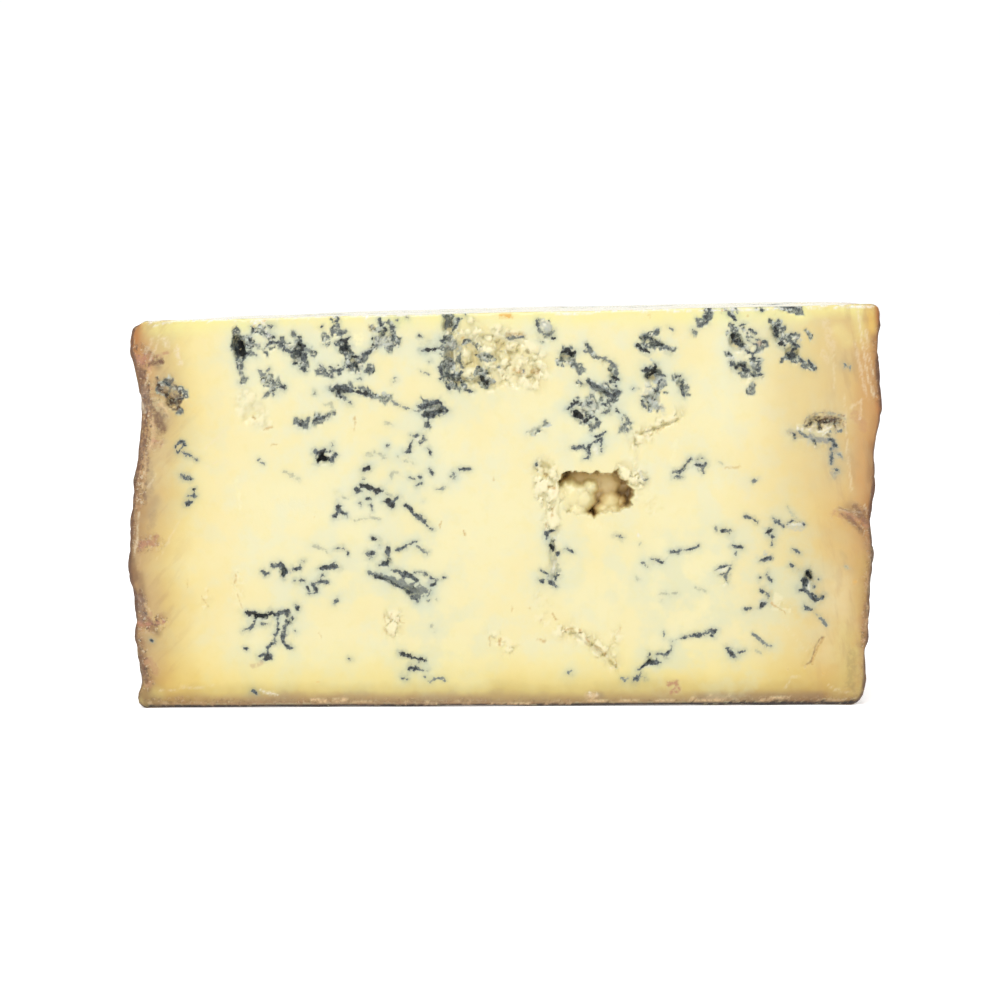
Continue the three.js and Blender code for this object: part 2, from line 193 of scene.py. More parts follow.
VEINS_MIDDLE_LEFT = [
    [3, DARK, 299, 425, 303, 424, 307, 425], [2, DARK, 302, 420, 305, 424],
    [3, DARK, 313, 422, 318, 419, 329, 417], [2, FAINT, 325, 404, 332, 404, 334, 410, 329, 413],
    [1.5, FAINT, 385, 423, 393, 425], [1.5, DARK, 411, 436, 414, 438, 418, 434],
    [2, DARK, 422, 434, 424, 440, 420, 443], [2, DARK, 412, 442, 410, 448, 408, 452, 404, 452],
    [3, DARK, 429, 448, 432, 454], [1.5, DARK, 387, 447], [2, FAINT, 366, 455, 372, 455],
    [2, FAINT, 376, 452], [2, FAINT, 381, 454, 386, 457], [2, FAINT, 397, 457],
    [2, FAINT, 405, 461, 414, 464], [2, FAINT, 391, 478, 393, 473, 398, 473],
    [2, DARK, 410, 477, 415, 480], [1.5, DARK, 420, 476, 421, 480], [2, DARK, 417, 486, 422, 484],
    [2, DARK, 429, 470, 432, 473], [4, BLACK, 315, 452, 320, 456, 326, 460],
    [3, BLACK, 325, 449, 320, 456, 317, 462],
    [2.5, DARK, 326, 451, 333, 451, 336, 456, 332, 461, 326, 459], [2, DARK, 332, 445],
    [4, BLACK, 364, 470, 370, 466], [2, FAINT, 362, 477, 366, 479],
    [3.5, BLACK, 362, 486, 370, 488, 376, 491, 383, 491], [1.5, FAINT, 383, 491, 395, 497],
    [4, DARK, 355, 490, 361, 492], [2, DARK, 365, 498, 369, 498], [2, DARK, 359, 502, 361, 504],
    [2, DARK, 370, 504, 372, 510], [5, BLACK, 385, 501, 391, 503, 393, 507], [2, DARK, 393, 502, 398, 496],
    [1.5, FAINT, 336, 492], [1.5, FAINT, 341, 496, 348, 498], [3, DARK, 338, 503, 339, 511, 346, 514],
    [2.5, DARK, 339, 512, 334, 519], [1.5, FAINT, 355, 521, 372, 518, 380, 520],
    [3, DARK, 405, 505, 410, 509, 420, 518, 428, 526, 432, 529], [2.5, GREY, 451, 476, 455, 476],
    [2.5, GREY, 454, 472, 454, 479], [2, DARK, 459, 469, 463, 468, 471, 469],
    [2, GREY, 436, 489, 441, 490, 444, 486], [1.5, FAINT, 423, 500],
    [1, DARK, 176, 448, 178, 443, 183, 441, 185, 445, 182, 450, 178, 453, 176, 448],
    [2, DARK, 184, 453, 190, 456, 198, 459], [3, DARK, 181, 475, 185, 477, 190, 479],
    [2, BLACK, 193, 490], [2, DARK, 188, 497, 196, 497], [3.5, DARK, 186, 504, 192, 502],
    [2, GREY, 259, 459], [2, GREY, 263, 464], [1.5, FAINT, 284, 472, 301, 480],
]
VEINS_LOWER_LEFT = [
    [2.5, DARK, 262, 571, 265, 574, 268, 573], [4.5, DARK, 273, 566, 280, 565, 284, 570, 283, 577],
    [2, DARK, 291, 569, 301, 569, 301, 562, 304, 561], [2.5, DARK, 295, 581], [3, DARK, 300, 582, 304, 581],
    [2, DARK, 307, 587, 309, 591], [2.5, DARK, 308, 594, 316, 591, 312, 585, 319, 583, 328, 582],
    [4, DARK, 321, 569, 327, 567, 334, 565, 338, 568], [3, DARK, 323, 575],
    [1.5, FAINT, 311, 546, 320, 548, 329, 553], [2.5, DARK, 335, 602, 338, 599],
    [3, BLACK, 246, 612, 257, 615, 266, 616, 271, 612, 275, 616], [2.5, DARK, 277, 615, 286, 610, 289, 616],
    [3, DARK, 256, 617, 254, 623, 250, 627, 243, 631], [2, DARK, 261, 623, 268, 624],
    [2, DARK, 278, 618, 278, 624, 279, 630, 275, 636, 275, 642, 268, 648],
    [3, DARK, 293, 619, 288, 624, 285, 629, 282, 637, 283, 642, 292, 648],
    [4, DARK, 296, 606, 298, 609], [2, DARK, 296, 632], [2.5, DARK, 246, 649],
    [3, DARK, 258, 656, 266, 653, 271, 656, 263, 659], [1.5, DARK, 335, 549, 344, 548, 348, 554],
    [3, BLACK, 373, 538, 377, 539], [3, DARK, 365, 553, 373, 553], [2, DARK, 370, 558], [2, DARK, 381, 546],
    [4, DARK, 388, 548, 387, 556, 389, 563, 379, 565], [2, DARK, 396, 549, 405, 547],
    [2, DARK, 410, 544, 417, 541], [2, GREY, 417, 546, 424, 552, 429, 553],
    [3, GREY, 370, 572, 385, 577], [5, GREY, 385, 577, 400, 583], [7, GREY, 400, 583, 412, 588],
    [8, GREY, 412, 588, 427, 592], [5, GREY, 414, 596, 423, 596], [4, DARK, 392, 569, 405, 574, 416, 580],
    [3, DARK, 370, 572, 378, 576, 390, 582, 403, 588, 412, 596, 418, 599],
    [3, BLACK, 408, 585, 419, 590], [2, DARK, 428, 596, 432, 590],
    [1.5, DARK, 415, 572, 425, 574, 436, 580, 432, 585], [3, DARK, 431, 586, 437, 580],
    [2, DARK, 444, 577], [1.5, GREY, 429, 600], [1.5, FAINT, 437, 600], [2, DARK, 418, 601],
    [2.5, BLACK, 399, 653, 412, 657, 424, 660], [3, DARK, 409, 668, 421, 669], [2, DARK, 403, 677],
    [2.5, DARK, 407, 679], [1.5, GREY, 428, 669], [1.5, GREY, 425, 677],
    [2, GREY, 428, 682, 437, 679, 445, 680], [3, DARK, 350, 659], [1.5, FAINT, 431, 626],
    [1.5, FAINT, 434, 632],
]
VEINS_LOWER_RIGHT = [
    [2, DARK, 546, 533, 554, 530], [2, DARK, 546, 532, 547, 540], [4, BLACK, 551, 546, 553, 549],
    [1.5, DARK, 552, 542, 554, 541], [2, DARK, 558, 553, 557, 557], [2, DARK, 567, 549, 572, 552],
    [2.5, DARK, 541, 571, 548, 575], [3, DARK, 539, 580, 543, 580], [4, DARK, 550, 582, 555, 586],
    [2, DARK, 556, 579, 559, 575], [3, FAINT, 559, 563, 559, 572],
    [1.5, DARK, 614, 535, 619, 536, 623, 538], [1.8, DARK, 745, 516, 751, 519, 757, 523],
    [1.3, DARK, 772, 518, 778, 522, 783, 525], [1.5, FAINT, 787, 507, 791, 512, 795, 516],
    [0.9, DARK, 788, 523, 794, 521, 800, 522, 804, 524], [4.5, BLACK, 770, 531],
    [3, DARK, 773, 536, 772, 544], [1.5, GREY, 716, 527, 718, 533],
    [2, DARK, 721, 531, 731, 529], [2, DARK, 671, 552, 688, 550, 699, 546], [1.5, GREY, 642, 562, 648, 567],
    [2, DARK, 652, 559, 662, 562], [3, DARK, 733, 547, 742, 548], [2, GREY, 736, 553, 736, 556],
    [1.5, DARK, 716, 570, 721, 567, 731, 564], [1.5, DARK, 720, 575, 729, 573, 730, 568],
    [4, GREY, 725, 576, 727, 582], [3, DARK, 761, 560, 767, 559, 770, 556], [3, DARK, 793, 549, 799, 553],
    [2.5, DARK, 790, 565, 793, 567], [1.5, GREY, 798, 570], [2, DARK, 759, 578],
    [1.5, DARK, 766, 575, 768, 573], [3, DARK, 768, 578, 771, 581], [5, BLACK, 807, 571, 810, 578],
    [4, DARK, 804, 578, 804, 588], [5, DARK, 798, 589, 807, 591, 814, 599], [2, DARK, 814, 601, 824, 595],
    [2, DARK, 814, 586], [2, DARK, 819, 578], [3.5, DARK, 761, 590, 767, 592, 768, 597],
    [3, DARK, 766, 603, 760, 606], [2, DARK, 745, 609, 751, 608], [3, DARK, 804, 606, 811, 609],
    [2, GREY, 817, 615, 822, 619, 826, 625], [1.5, FAINT, 661, 593, 669, 594, 678, 593],
    [1.5, FAINT, 696, 587, 706, 591], [2, DARK, 681, 638, 699, 634, 710, 632],
    [3, DARK, 708, 632, 717, 630], [2, DARK, 711, 634, 714, 637], [3, DARK, 728, 648, 732, 654, 736, 658],
    [2.5, DARK, 730, 656, 737, 653, 745, 651], [1.5, GREY, 753, 634, 760, 640, 766, 646, 771, 646],
    [1.5, FAINT, 756, 650, 762, 653], [2.5, DARK, 638, 670, 650, 661, 649, 654],
    [2.5, DARK, 650, 661, 659, 664], [2, DARK, 657, 654, 665, 654, 671, 651, 671, 642],
    [2, GREY, 665, 632, 664, 638], [2, GREY, 622, 678, 624, 682, 627, 679],
    [3.5, DARK, 635, 681, 641, 676, 645, 678], [3, GREY, 567, 673, 571, 672],
    [1.5, FAINT, 844, 566, 851, 569],
    [1.5, FAINT, 664, 659, 669, 658], [1.5, FAINT, 662, 600], [2, FAINT, 636, 578, 640, 580],
    [2, FAINT, 640, 544],
]
VEINS_RIGHT_HOLE = [
    [0.7, FAINT, 804, 425, 806, 418, 814, 414, 824, 412, 836, 414, 844, 418], 
    [1.5, GREY, 831, 430, 837, 431, 843, 430], [1.5, DARK, 790, 432, 793, 434, 795, 438],
    [1.6, GREY, 800, 431, 803, 435, 807, 437],
    [1.2, DARK, 813, 440, 816, 445], [3, DARK, 831, 441, 836, 446], [1.5, DARK, 830, 448, 832, 458, 831, 463],
    [1, GREY, 834, 452, 840, 455, 843, 459], [1.5, DARK, 835, 469, 838, 470], [2, FAINT, 833, 478, 840, 472],
]
VEINS_BETWEEN = [
    [2, DARK, 673, 472, 682, 470, 688, 462, 691, 457], [2.5, DARK, 674, 478, 681, 477],
    [2, BLACK, 698, 459, 702, 458], [3, DARK, 697, 465, 702, 470, 706, 464], [1.5, FAINT, 719, 461, 723, 464],
    [3, GREY, 753, 481, 757, 479], [1.5, FAINT, 788, 507], [1.5, DARK, 537, 464],
    [2, GREY, 643, 480, 648, 480],
]
VEINS_LEFT_ROT = [
    [1, DARK, 165, 381, 170, 386, 175, 390], [2, DARK, 151, 640, 153, 641], [3, DARK, 252, 692, 257, 694],
]
VEINS = (
    VEINS_UPPER_LEFT + VEINS_LEFT_OF_FISSURE + VEINS_FISSURE + VEINS_RIGHT_OF_PATCH
    + VEINS_UPPER_RIGHT + VEINS_MIDDLE_LEFT + VEINS_LOWER_LEFT + VEINS_LOWER_RIGHT
    + VEINS_RIGHT_HOLE + VEINS_BETWEEN + VEINS_LEFT_ROT
)

# Patches of mould, in the same form as the veins. Above SOFT_BELOW the paste in them has gone
# to crumbs, and further down they are soft smudges
SOFT_BELOW = 432
MOULD = [
    [14, DARK, 240, 340, 243, 354], [11, BLACK, 237, 333, 237, 350], [9, DARK, 251, 336, 252, 352],
    [6, GREY, 240, 362, 241, 380],
    [13, GREY, 260, 330, 270, 342], [8, GREY, 262, 350, 272, 344], [11, DARK, 284, 342, 292, 350, 300, 345],
    [9, DARK, 296, 338, 303, 350, 312, 350], [11, DARK, 298, 356, 303, 366], [11, GREY, 266, 380, 276, 385],
    [8, GREY, 270, 392, 274, 388], [6, GREY, 263, 373], [7, FAINT, 325, 338, 327, 344],
    [6, DARK, 336, 318, 338, 330], [14, BLACK, 339, 338, 346, 350], [11, DARK, 349, 356, 356, 365],
    [16, GREY, 378, 325], [14, GREY, 382, 340, 392, 342], [8, DARK, 393, 325, 396, 345],
    [8, GREY, 352, 366, 364, 356, 374, 348], [9, DARK, 323, 368, 334, 372, 341, 370],
    [7, DARK, 362, 372, 371, 369], [11, DARK, 331, 388, 342, 388, 350, 391], [9, DARK, 339, 395, 346, 399],
    [6, DARK, 355, 392, 375, 396], [9, FAINT, 378, 396, 386, 397], [11, DARK, 423, 408, 442, 407],
    [9, DARK, 429, 414, 441, 412], [4, DARK, 428, 418, 428, 426], [15, GREY, 450, 318, 450, 345],
    [13, DARK, 447, 350, 450, 370],
    [13, DARK, 444, 362, 447, 385, 455, 388], [13, DARK, 453, 372, 464, 382], [10, GREY, 466, 344, 478, 347],
    [8, DARK, 300, 422, 306, 424], [6, GREY, 314, 420, 330, 417], [9, GREY, 480, 356, 490, 363],
    [11, DARK, 481, 372, 485, 384], [8, GREY, 486, 388, 488, 380], [14, FAINT, 546, 336, 542, 322],
    [8, BLACK, 564, 352, 574, 353], [13, GREY, 563, 362, 576, 366], [6, GREY, 586, 347, 592, 354],
    [5, GREY, 596, 358, 610, 361], [9, GREY, 613, 364, 615, 376], [6, GREY, 580, 381],
    [7, DARK, 588, 382, 601, 389], [12, DARK, 606, 392, 613, 396], [8, DARK, 602, 401, 608, 406],
    [12, DARK, 570, 409, 579, 404], [14, DARK, 578, 414, 594, 419], [18, FAINT, 592, 406],
    [6, GREY, 617, 411], [8, FAINT, 624, 421, 628, 428], [11, DARK, 645, 339, 655, 333],
    [8, DARK, 655, 343, 671, 351], [10, DARK, 637, 346, 647, 350], [12, BLACK, 646, 371, 652, 366],
    [9, DARK, 657, 376, 662, 385], [14, FAINT, 650, 390, 658, 392], [14, GREY, 648, 401, 655, 409],
    [9, DARK, 676, 378, 683, 384], [5, GREY, 684, 388, 686, 393], [7, GREY, 693, 329, 697, 326],
    [9, DARK, 709, 308, 704, 320], [7, GREY, 716, 308, 727, 311], [8, DARK, 730, 306, 733, 316],
    [14, DARK, 733, 330, 735, 340], [10, GREY, 744, 329, 746, 338], [8, GREY, 742, 347, 754, 352],
    [8, GREY, 757, 345, 765, 342], [6, GREY, 729, 355, 730, 364], [9, DARK, 740, 366, 750, 371],
    [12, DARK, 755, 362, 758, 374], [8, GREY, 752, 384, 748, 390], [14, DARK, 776, 322, 779, 330],
    [9, DARK, 778, 334, 782, 342], [16, DARK, 789, 340, 796, 345], [13, DARK, 787, 356, 796, 356],
    [8, DARK, 800, 360, 804, 366], [8, DARK, 809, 363, 815, 366], [6, FAINT, 808, 332, 812, 336],
    [11, DARK, 780, 306, 798, 308], [8, GREY, 318, 464, 316, 452],
    [9, BLACK, 318, 455, 323, 456], [7, GREY, 412, 436, 423, 440], [6, GREY, 409, 446, 405, 453],
    [7, DARK, 427, 450, 432, 453], [5, GREY, 368, 456, 386, 453], [5, GREY, 396, 456],
    [4, FAINT, 405, 461, 413, 465],
    [8, GREY, 409, 473, 413, 480], [5, GREY, 420, 478, 420, 485], [5, GREY, 429, 470, 432, 468],
    [5, FAINT, 391, 478, 396, 474], [6, BLACK, 363, 470, 371, 467], [8, DARK, 354, 490, 361, 493],
    [5, DARK, 365, 498, 369, 497], [5, DARK, 358, 503, 362, 502], [5, GREY, 370, 505, 372, 510],
    [9, BLACK, 386, 501, 393, 506], [5, GREY, 336, 492, 341, 497], [7, DARK, 338, 506, 338, 518],
    [6, GREY, 344, 513], [4, GREY, 358, 519, 380, 519], [8, GREY, 427, 523, 431, 530],
    [8, DARK, 411, 542, 418, 540], [10, GREY, 413, 548, 424, 552], [9, GREY, 574, 448, 586, 452],
    [8, DARK, 590, 436, 604, 435], [9, DARK, 698, 460, 704, 468], [9, GREY, 688, 462, 678, 474],
    [8, FAINT, 548, 534, 552, 544], [8, GREY, 551, 546, 557, 558], [9, DARK, 541, 574, 546, 580],
    [12, GREY, 550, 582, 558, 574], [14, DARK, 730, 532, 722, 530], [5, GREY, 793, 515, 790, 510],
    [8, BLACK, 769, 531], [8, DARK, 773, 538, 772, 545], [8, DARK, 735, 548, 741, 548], [4, GREY, 736, 555],
    [13, FAINT, 760, 556, 768, 556], [7, DARK, 794, 549, 799, 554], [6, DARK, 790, 566, 795, 569],
    [11, DARK, 804, 572, 804, 586], [8, DARK, 809, 573, 811, 580], [9, DARK, 808, 592, 817, 600],
    [6, GREY, 819, 599, 824, 594], [10, GREY, 762, 590, 767, 596], [8, DARK, 760, 604, 766, 604],
    [6, GREY, 743, 609, 750, 608], [7, DARK, 804, 608, 810, 608], [5, GREY, 768, 576, 770, 581],
    [10, GREY, 724, 574, 728, 582], [11, FAINT, 722, 568, 730, 566], [5, GREY, 820, 618, 826, 624],
    [9, DARK, 729, 650, 733, 656], [5, GREY, 738, 653, 745, 651], [6, DARK, 640, 678, 646, 680],
    [6, GREY, 623, 680], [6, DARK, 650, 661, 657, 663], [5, GREY, 664, 632], [8, DARK, 276, 566, 284, 572],
    [9, GREY, 286, 570, 294, 570], [6, GREY, 262, 568, 266, 573], [6, DARK, 299, 579, 304, 583],
    [9, DARK, 321, 570, 326, 574], [7, DARK, 330, 566, 337, 567], [7, DARK, 309, 590, 315, 588],
    [5, GREY, 320, 583, 328, 582], [9, DARK, 252, 622, 247, 630], [7, DARK, 281, 614, 290, 610],
    [8, DARK, 277, 622, 279, 634], [9, DARK, 290, 620, 284, 634], [8, DARK, 281, 638, 277, 644],
    [7, DARK, 258, 657, 268, 654], [6, GREY, 247, 649], [6, FAINT, 255, 664, 260, 662],
    [6, DARK, 297, 606, 298, 609],
    [8, DARK, 387, 550, 386, 564], [6, GREY, 378, 566, 370, 560], [6, DARK, 366, 553, 372, 553],
    [14, DARK, 398, 582, 414, 588], [14, DARK, 414, 590, 426, 594], [8, DARK, 400, 574, 414, 578],
    [10, GREY, 424, 577, 433, 582], [5, GREY, 430, 680, 440, 680], [5, GREY, 425, 672, 430, 670],
    [6, GREY, 840, 552, 846, 556], [9, GREY, 162, 385, 166, 394], [8, DARK, 174, 388, 181, 398],
    [8, DARK, 170, 402, 178, 408], [6, GREY, 168, 380], [7, FAINT, 180, 446], [6, GREY, 190, 476, 184, 475],
    [7, GREY, 188, 502, 193, 497], [5, GREY, 192, 487], [6, FAINT, 812, 425, 836, 421],
    [8, GREY, 792, 432, 803, 433], [10, GREY, 812, 436, 826, 440], [9, DARK, 832, 442, 834, 452],
    [7, GREY, 838, 456, 832, 462], [6, FAINT, 836, 470, 835, 480], [4, FAINT, 665, 593, 675, 594],
    [5, FAINT, 636, 578, 640, 580], [5, GREY, 643, 563, 647, 567], [6, FAINT, 548, 426, 535, 432],
]

# Other marks: [width, strength, x, y, ...] under the name of their colour, with how deep they lie.
# Some of them are painted light and shade: highlights and sheen on the clear film, painted shadow
# under the foot, and painted shade in holes and cracks
MARK_COLOURS = {
    "ash": ((196, 198, 184), -0.15),
    "chalk": ((250, 246, 226), -0.25),
    "curd": ((255, 247, 196), -0.2),
    # Ochre: painted shade in the cracks, pits and small hollows of the paste
    "ochre_crack_shade": ((206, 160, 84), 0.35),
    "orange": ((242, 184, 84), 0.0),
    "olive": ((150, 132, 84), 0.3),
    # Painted shade in the holes at the right of the face
    "cavity_shade": ((70, 58, 40), 1.0),
    "slate": ((142, 144, 140), 0.1),
    "rot": ((84, 70, 54), 0.3),
    "pit": ((84, 88, 78), 0.2),
    "flake": ((244, 208, 158), -0.2),
    "shelf": ((206, 188, 142), 0.5),
    "pink": ((190, 132, 104), 0.1),
    "brown": ((122, 84, 56), 0.3),
    "mould": ((132, 112, 98), 0.1),
    # Fold: painted sheen on the creases of the clear film, over a slight ridge
    "fold_sheen": ((248, 230, 196), -0.1),
    # Contact: painted shadow under the foot, and dark lines along the right edge
    "contact_shadow": ((34, 20, 14), 0.2),
    "glint": ((255, 255, 252), -0.05),
}
MARKS = {
    "ash": [
        [6, 0.9, 252, 344, 257, 346], [7, 0.9, 267, 334], [6, 0.8, 297, 361],
        [12, 0.9, 380, 341, 388, 341], [6, 0.7, 446, 350, 448, 362],
        [5, 0.8, 352, 366, 362, 355, 376, 346], [6, 0.8, 432, 409, 440, 407], [9, 0.8, 449, 342, 458, 350],
        [10, 0.9, 546, 326], [10, 0.6, 585, 406, 596, 408], [9, 0.6, 648, 392, 656, 402, 662, 410],
        [7, 0.7, 700, 464], [4, 0.9, 797, 337, 799, 341], [7, 0.8, 431, 581], [6, 0.9, 287, 570],
        [6, 0.8, 762, 601], [5, 0.8, 765, 553], [8, 0.6, 791, 527, 801, 528], [5, 0.7, 726, 579],
        [4, 0.8, 806, 582, 808, 586], [5, 0.6, 552, 560, 554, 570], [6, 0.6, 838, 455], [8, 0.5, 812, 439],
        [6, 0.7, 549, 577],
    ],
    "chalk": [
        [3, 0.9, 303, 362], [3, 0.9, 435, 409], [7, 0.8, 596, 450], [3.5, 0.8, 575, 412], [3, 0.8, 584, 414],
        [5, 0.7, 417, 439], [7, 0.7, 330, 456], [2, 0.9, 789, 525, 803, 523], [3.5, 0.9, 638, 535],
        [2.5, 0.8, 266, 331, 271, 338], [3, 0.9, 285, 576, 286, 572], [3, 0.8, 813, 427], [3, 0.8, 826, 427],
        [2.5, 0.9, 798, 429, 803, 430], [3.5, 0.95, 811, 430, 814, 426], [3, 0.9, 818, 432, 823, 430],
        [2.5, 0.9, 827, 428, 833, 425], [2.5, 0.8, 822, 434, 828, 431], [2, 0.8, 836, 418, 842, 420],
        [2, 0.8, 818, 416, 824, 418],
        [2.5, 0.9, 168, 388, 172, 391], [2, 0.9, 178, 394], [2, 0.8, 166, 384], [2, 0.7, 174, 401],
        [4, 0.7, 590, 694], [3, 0.7, 597, 694], [2, 0.8, 553, 547],
        [2.5, 0.7, 556, 560, 553, 572], [5, 0.7, 720, 570, 727, 568], [3, 0.7, 555, 583],
        [3, 0.6, 643, 478, 639, 470], [2.5, 0.7, 260, 690, 268, 693, 278, 695],
        [2.5, 0.8, 808, 580, 809, 590],
    ],
    "curd": [
        [11, 0.9, 357, 340], [9, 0.6, 578, 453], [8, 0.6, 632, 476], [7, 0.6, 624, 471],
        [3, 0.6, 237, 480, 236, 486], [3, 0.6, 239, 492, 240, 508], [3, 0.5, 238, 569, 234, 582, 235, 590],
        [3, 0.5, 235, 590, 242, 609], [4, 0.4, 676, 440, 672, 465], [10, 0.4, 600, 528, 592, 526],
        [12, 0.4, 548, 522],
    ],
    "glint": [
        [2, 1.0, 150, 322, 168, 321.5, 205, 320.5, 236, 319.5], [1.8, 1.0, 252, 320, 300, 318, 340, 316.5],
        [2, 1.0, 352, 316, 395, 314.5, 430, 314, 452, 313], [2, 1.0, 456, 312, 500, 310, 548, 310],
        [2, 1.0, 552, 312, 566, 314, 590, 313, 600, 311], [2, 1.0, 606, 311, 660, 310, 690, 310],
        [1.8, 1.0, 700, 310, 760, 309, 800, 308], [2, 1.0, 806, 307, 860, 306, 872, 307],
        [1.6, 0.9, 251, 321, 262, 328, 271, 337], [1.4, 0.8, 262, 322, 268, 328],
        [1.4, 0.8, 366, 318, 375, 314],
        [1.2, 0.7, 152, 327, 162, 326],
    ],
    # Ochre: painted shade in the cracks, pits and small hollows of the paste
    "ochre_crack_shade": [
        [2, 0.6, 355, 418, 356, 424, 354, 429],
        [2, 0.7, 252, 417, 255, 419], [2, 0.6, 264, 430, 272, 427], [2, 0.6, 272, 445, 277, 444],
        [2, 0.8, 494, 480], [1.5, 0.7, 440, 528, 442, 522], [2, 0.8, 464, 531, 465, 535],
        [1.5, 0.6, 512, 607, 512, 611], [2, 0.6, 530, 609], [1.5, 0.6, 541, 618, 540, 620],
        [2, 0.7, 553, 615, 556, 619], [1.5, 0.6, 490, 637, 490, 646], [2.5, 0.7, 500, 638, 500, 645],
        [2, 0.6, 510, 648], [2, 0.6, 538, 639, 545, 641], [2.5, 0.7, 565, 630, 573, 629],
        [2, 0.7, 580, 629, 580, 632], [2.5, 0.7, 585, 637, 589, 641], [5, 0.5, 595, 647, 599, 649],
        [2, 0.7, 606, 652, 605, 657], [2, 0.5, 616, 661, 616, 666], [1.5, 0.3, 621, 628, 617, 635],
        [2, 0.4, 384, 615, 386, 622], [2, 0.4, 384, 628, 387, 635], [2, 0.4, 392, 614, 391, 620],
        [2, 0.5, 397, 619, 401, 622],
        [2, 0.5, 404, 622], [4, 0.8, 545, 475], [3, 0.8, 548, 486, 555, 488], [3, 0.6, 552, 508, 552, 516],
        [2, 0.5, 547, 523, 545, 530], [6, 0.6, 508, 335, 521, 335], [5, 0.6, 516, 371, 524, 372],
        [5, 0.6, 532, 371, 538, 372], [3, 0.6, 748, 316], [2, 0.5, 725, 467, 740, 467],
        [2.2, 0.6, 823, 640, 818, 647, 815, 656, 812, 664], [1.5, 0.6, 810, 643],
        [2, 0.7, 771, 603, 778, 608, 785, 613], [2, 0.6, 788, 669], [1.5, 0.6, 236, 575, 234, 583],
        [1.5, 0.5, 238, 595, 242, 609], [2, 0.5, 207, 591], [1.5, 0.5, 202, 597, 208, 606],
        [1.5, 0.5, 188, 582, 187, 587], [1.5, 0.5, 185, 615], [1.5, 0.5, 271, 537], [1.5, 0.5, 314, 517],
        [2, 0.5, 664, 428, 658, 431], [2, 0.5, 650, 434, 643, 436], [1.5, 0.5, 319, 633, 322, 637],
    ],
    "orange": [
        [3, 0.8, 254, 326], [3, 0.7, 264, 322], [5, 0.9, 500, 316, 511, 316], [3, 0.8, 537, 310],
        [3, 0.8, 649, 316], [3, 0.8, 722, 310], [3, 0.5, 463, 338], [4, 0.6, 855, 582], [3, 0.5, 318, 682],
        [3, 0.4, 823, 673],
    ],
    "shelf": [
        [1.4, 0.9, 812, 417, 826, 415, 842, 419], [1.4, 0.8, 828, 420, 844, 424],
        [15, 0.9, 814, 421, 836, 421], [6, 0.8, 790, 433, 802, 436], [5, 0.7, 838, 426, 844, 430],
        [14, 0.7, 168, 388, 176, 400], [12, 0.6, 155, 405, 160, 416],
    ],
    "slate": [
        [6, 0.8, 811, 436, 818, 440, 827, 441], [5, 0.7, 832, 443, 835, 448], [5, 0.55, 832, 450, 831, 462],
        [4, 0.5, 836, 452, 842, 458], [5, 0.4, 832, 470, 834, 478],
    ],
    "rot": [
        [3, 0.9, 157, 378, 160, 390, 168, 398, 173, 402], [4.5, 0.8, 165, 379, 171, 388],
        [5, 1.0, 176, 387, 182, 397, 180, 402],
        [3.5, 0.9, 168, 402, 172, 409, 178, 407], [10, 0.35, 162, 386, 174, 398],
    ],
    # Painted shade in the holes at the right of the face
    "cavity_shade": [
        [3, 1.0, 806, 427, 810, 423], [4, 1.0, 819, 420, 820, 428], [4.5, 1.0, 822, 421, 828, 422, 834, 420],
        [2.2, 0.9, 835, 423, 836, 427], [5, 0.5, 811, 419, 818, 418], [2, 0.8, 826, 434, 830, 436],
    ],
    "pit": [[9, 1.0, 235, 333, 237, 342], [5, 0.8, 233, 345]],
    "flake": [
        [1.5, 0.5, 150, 704, 200, 704.5, 236, 704], [4, 0.9, 312, 701, 324, 701],
        [3.4, 0.9, 334, 700.5, 345, 700.5],
        [1.5, 0.6, 352, 702, 376, 703], [2, 0.9, 404, 703, 436, 703.5], [1.6, 0.8, 452, 703, 470, 703],
        [2, 0.9, 492, 703.5, 530, 703.5], [1.6, 0.8, 542, 703, 570, 702.5], [2, 1.0, 584, 702, 606, 701.5],
        [6, 0.6, 588, 697, 596, 695], [1.8, 0.9, 616, 702, 640, 701.5], [2.5, 0.7, 655, 701, 674, 700],
        [2.4, 0.8, 690, 700, 722, 699.5], [1.6, 0.6, 708, 696.5, 730, 696.5], [2, 0.9, 752, 699, 788, 698.5],
        [1.6, 0.6, 806, 699, 846, 700.5],
        [3, 0.6, 152, 412, 154, 436, 150, 448], [2, 0.6, 160, 402, 166, 412],
        [1.6, 0.6, 146, 452, 145, 470, 143, 488], [2, 0.6, 148, 362, 150, 372],
        [1.6, 0.2, 140, 556, 139, 576],
        [1.5, 0.5, 868, 604, 867, 630], [2, 0.5, 145, 604, 150, 612],
    ],
    "olive": [
        [8, 0.6, 372, 328], [4, 0.7, 528, 352], [8, 0.4, 446, 325], [5, 0.6, 487, 384], [3, 0.6, 753, 481],
        [6, 0.5, 812, 418], [10, 0.35, 852, 655, 851, 685],
    ],
    "pink": [
        [9, 0.7, 138, 358, 148, 360], [4, 0.6, 158, 356, 166, 352],
        [6, 0.6, 140, 545, 150, 543, 157, 537], [5, 0.7, 140, 624, 152, 624, 163, 622],
        [5, 0.4, 150, 614, 150, 630], [3, 0.5, 152, 440, 162, 442, 161, 447], [7, 0.5, 139, 362, 149, 366],
        [5, 0.8, 669, 684, 676, 682, 678, 690, 671, 692], [8, 0.5, 836, 512, 850, 516, 866, 524],
        [7, 0.35, 150, 660, 156, 672], [8, 0.3, 855, 415, 864, 428], [5, 0.5, 760, 343],
        [4, 0.35, 252, 666, 262, 663],
    ],
    "brown": [
        [1.1, 0.9, 804, 424, 807, 417, 816, 413, 830, 412, 844, 416],
        [1, 0.9, 816, 418, 828, 416, 840, 419, 846, 423],
        [1, 0.8, 830, 422, 838, 422, 846, 427], [2.5, 0.8, 133, 332, 132, 350, 135, 366, 138, 384],
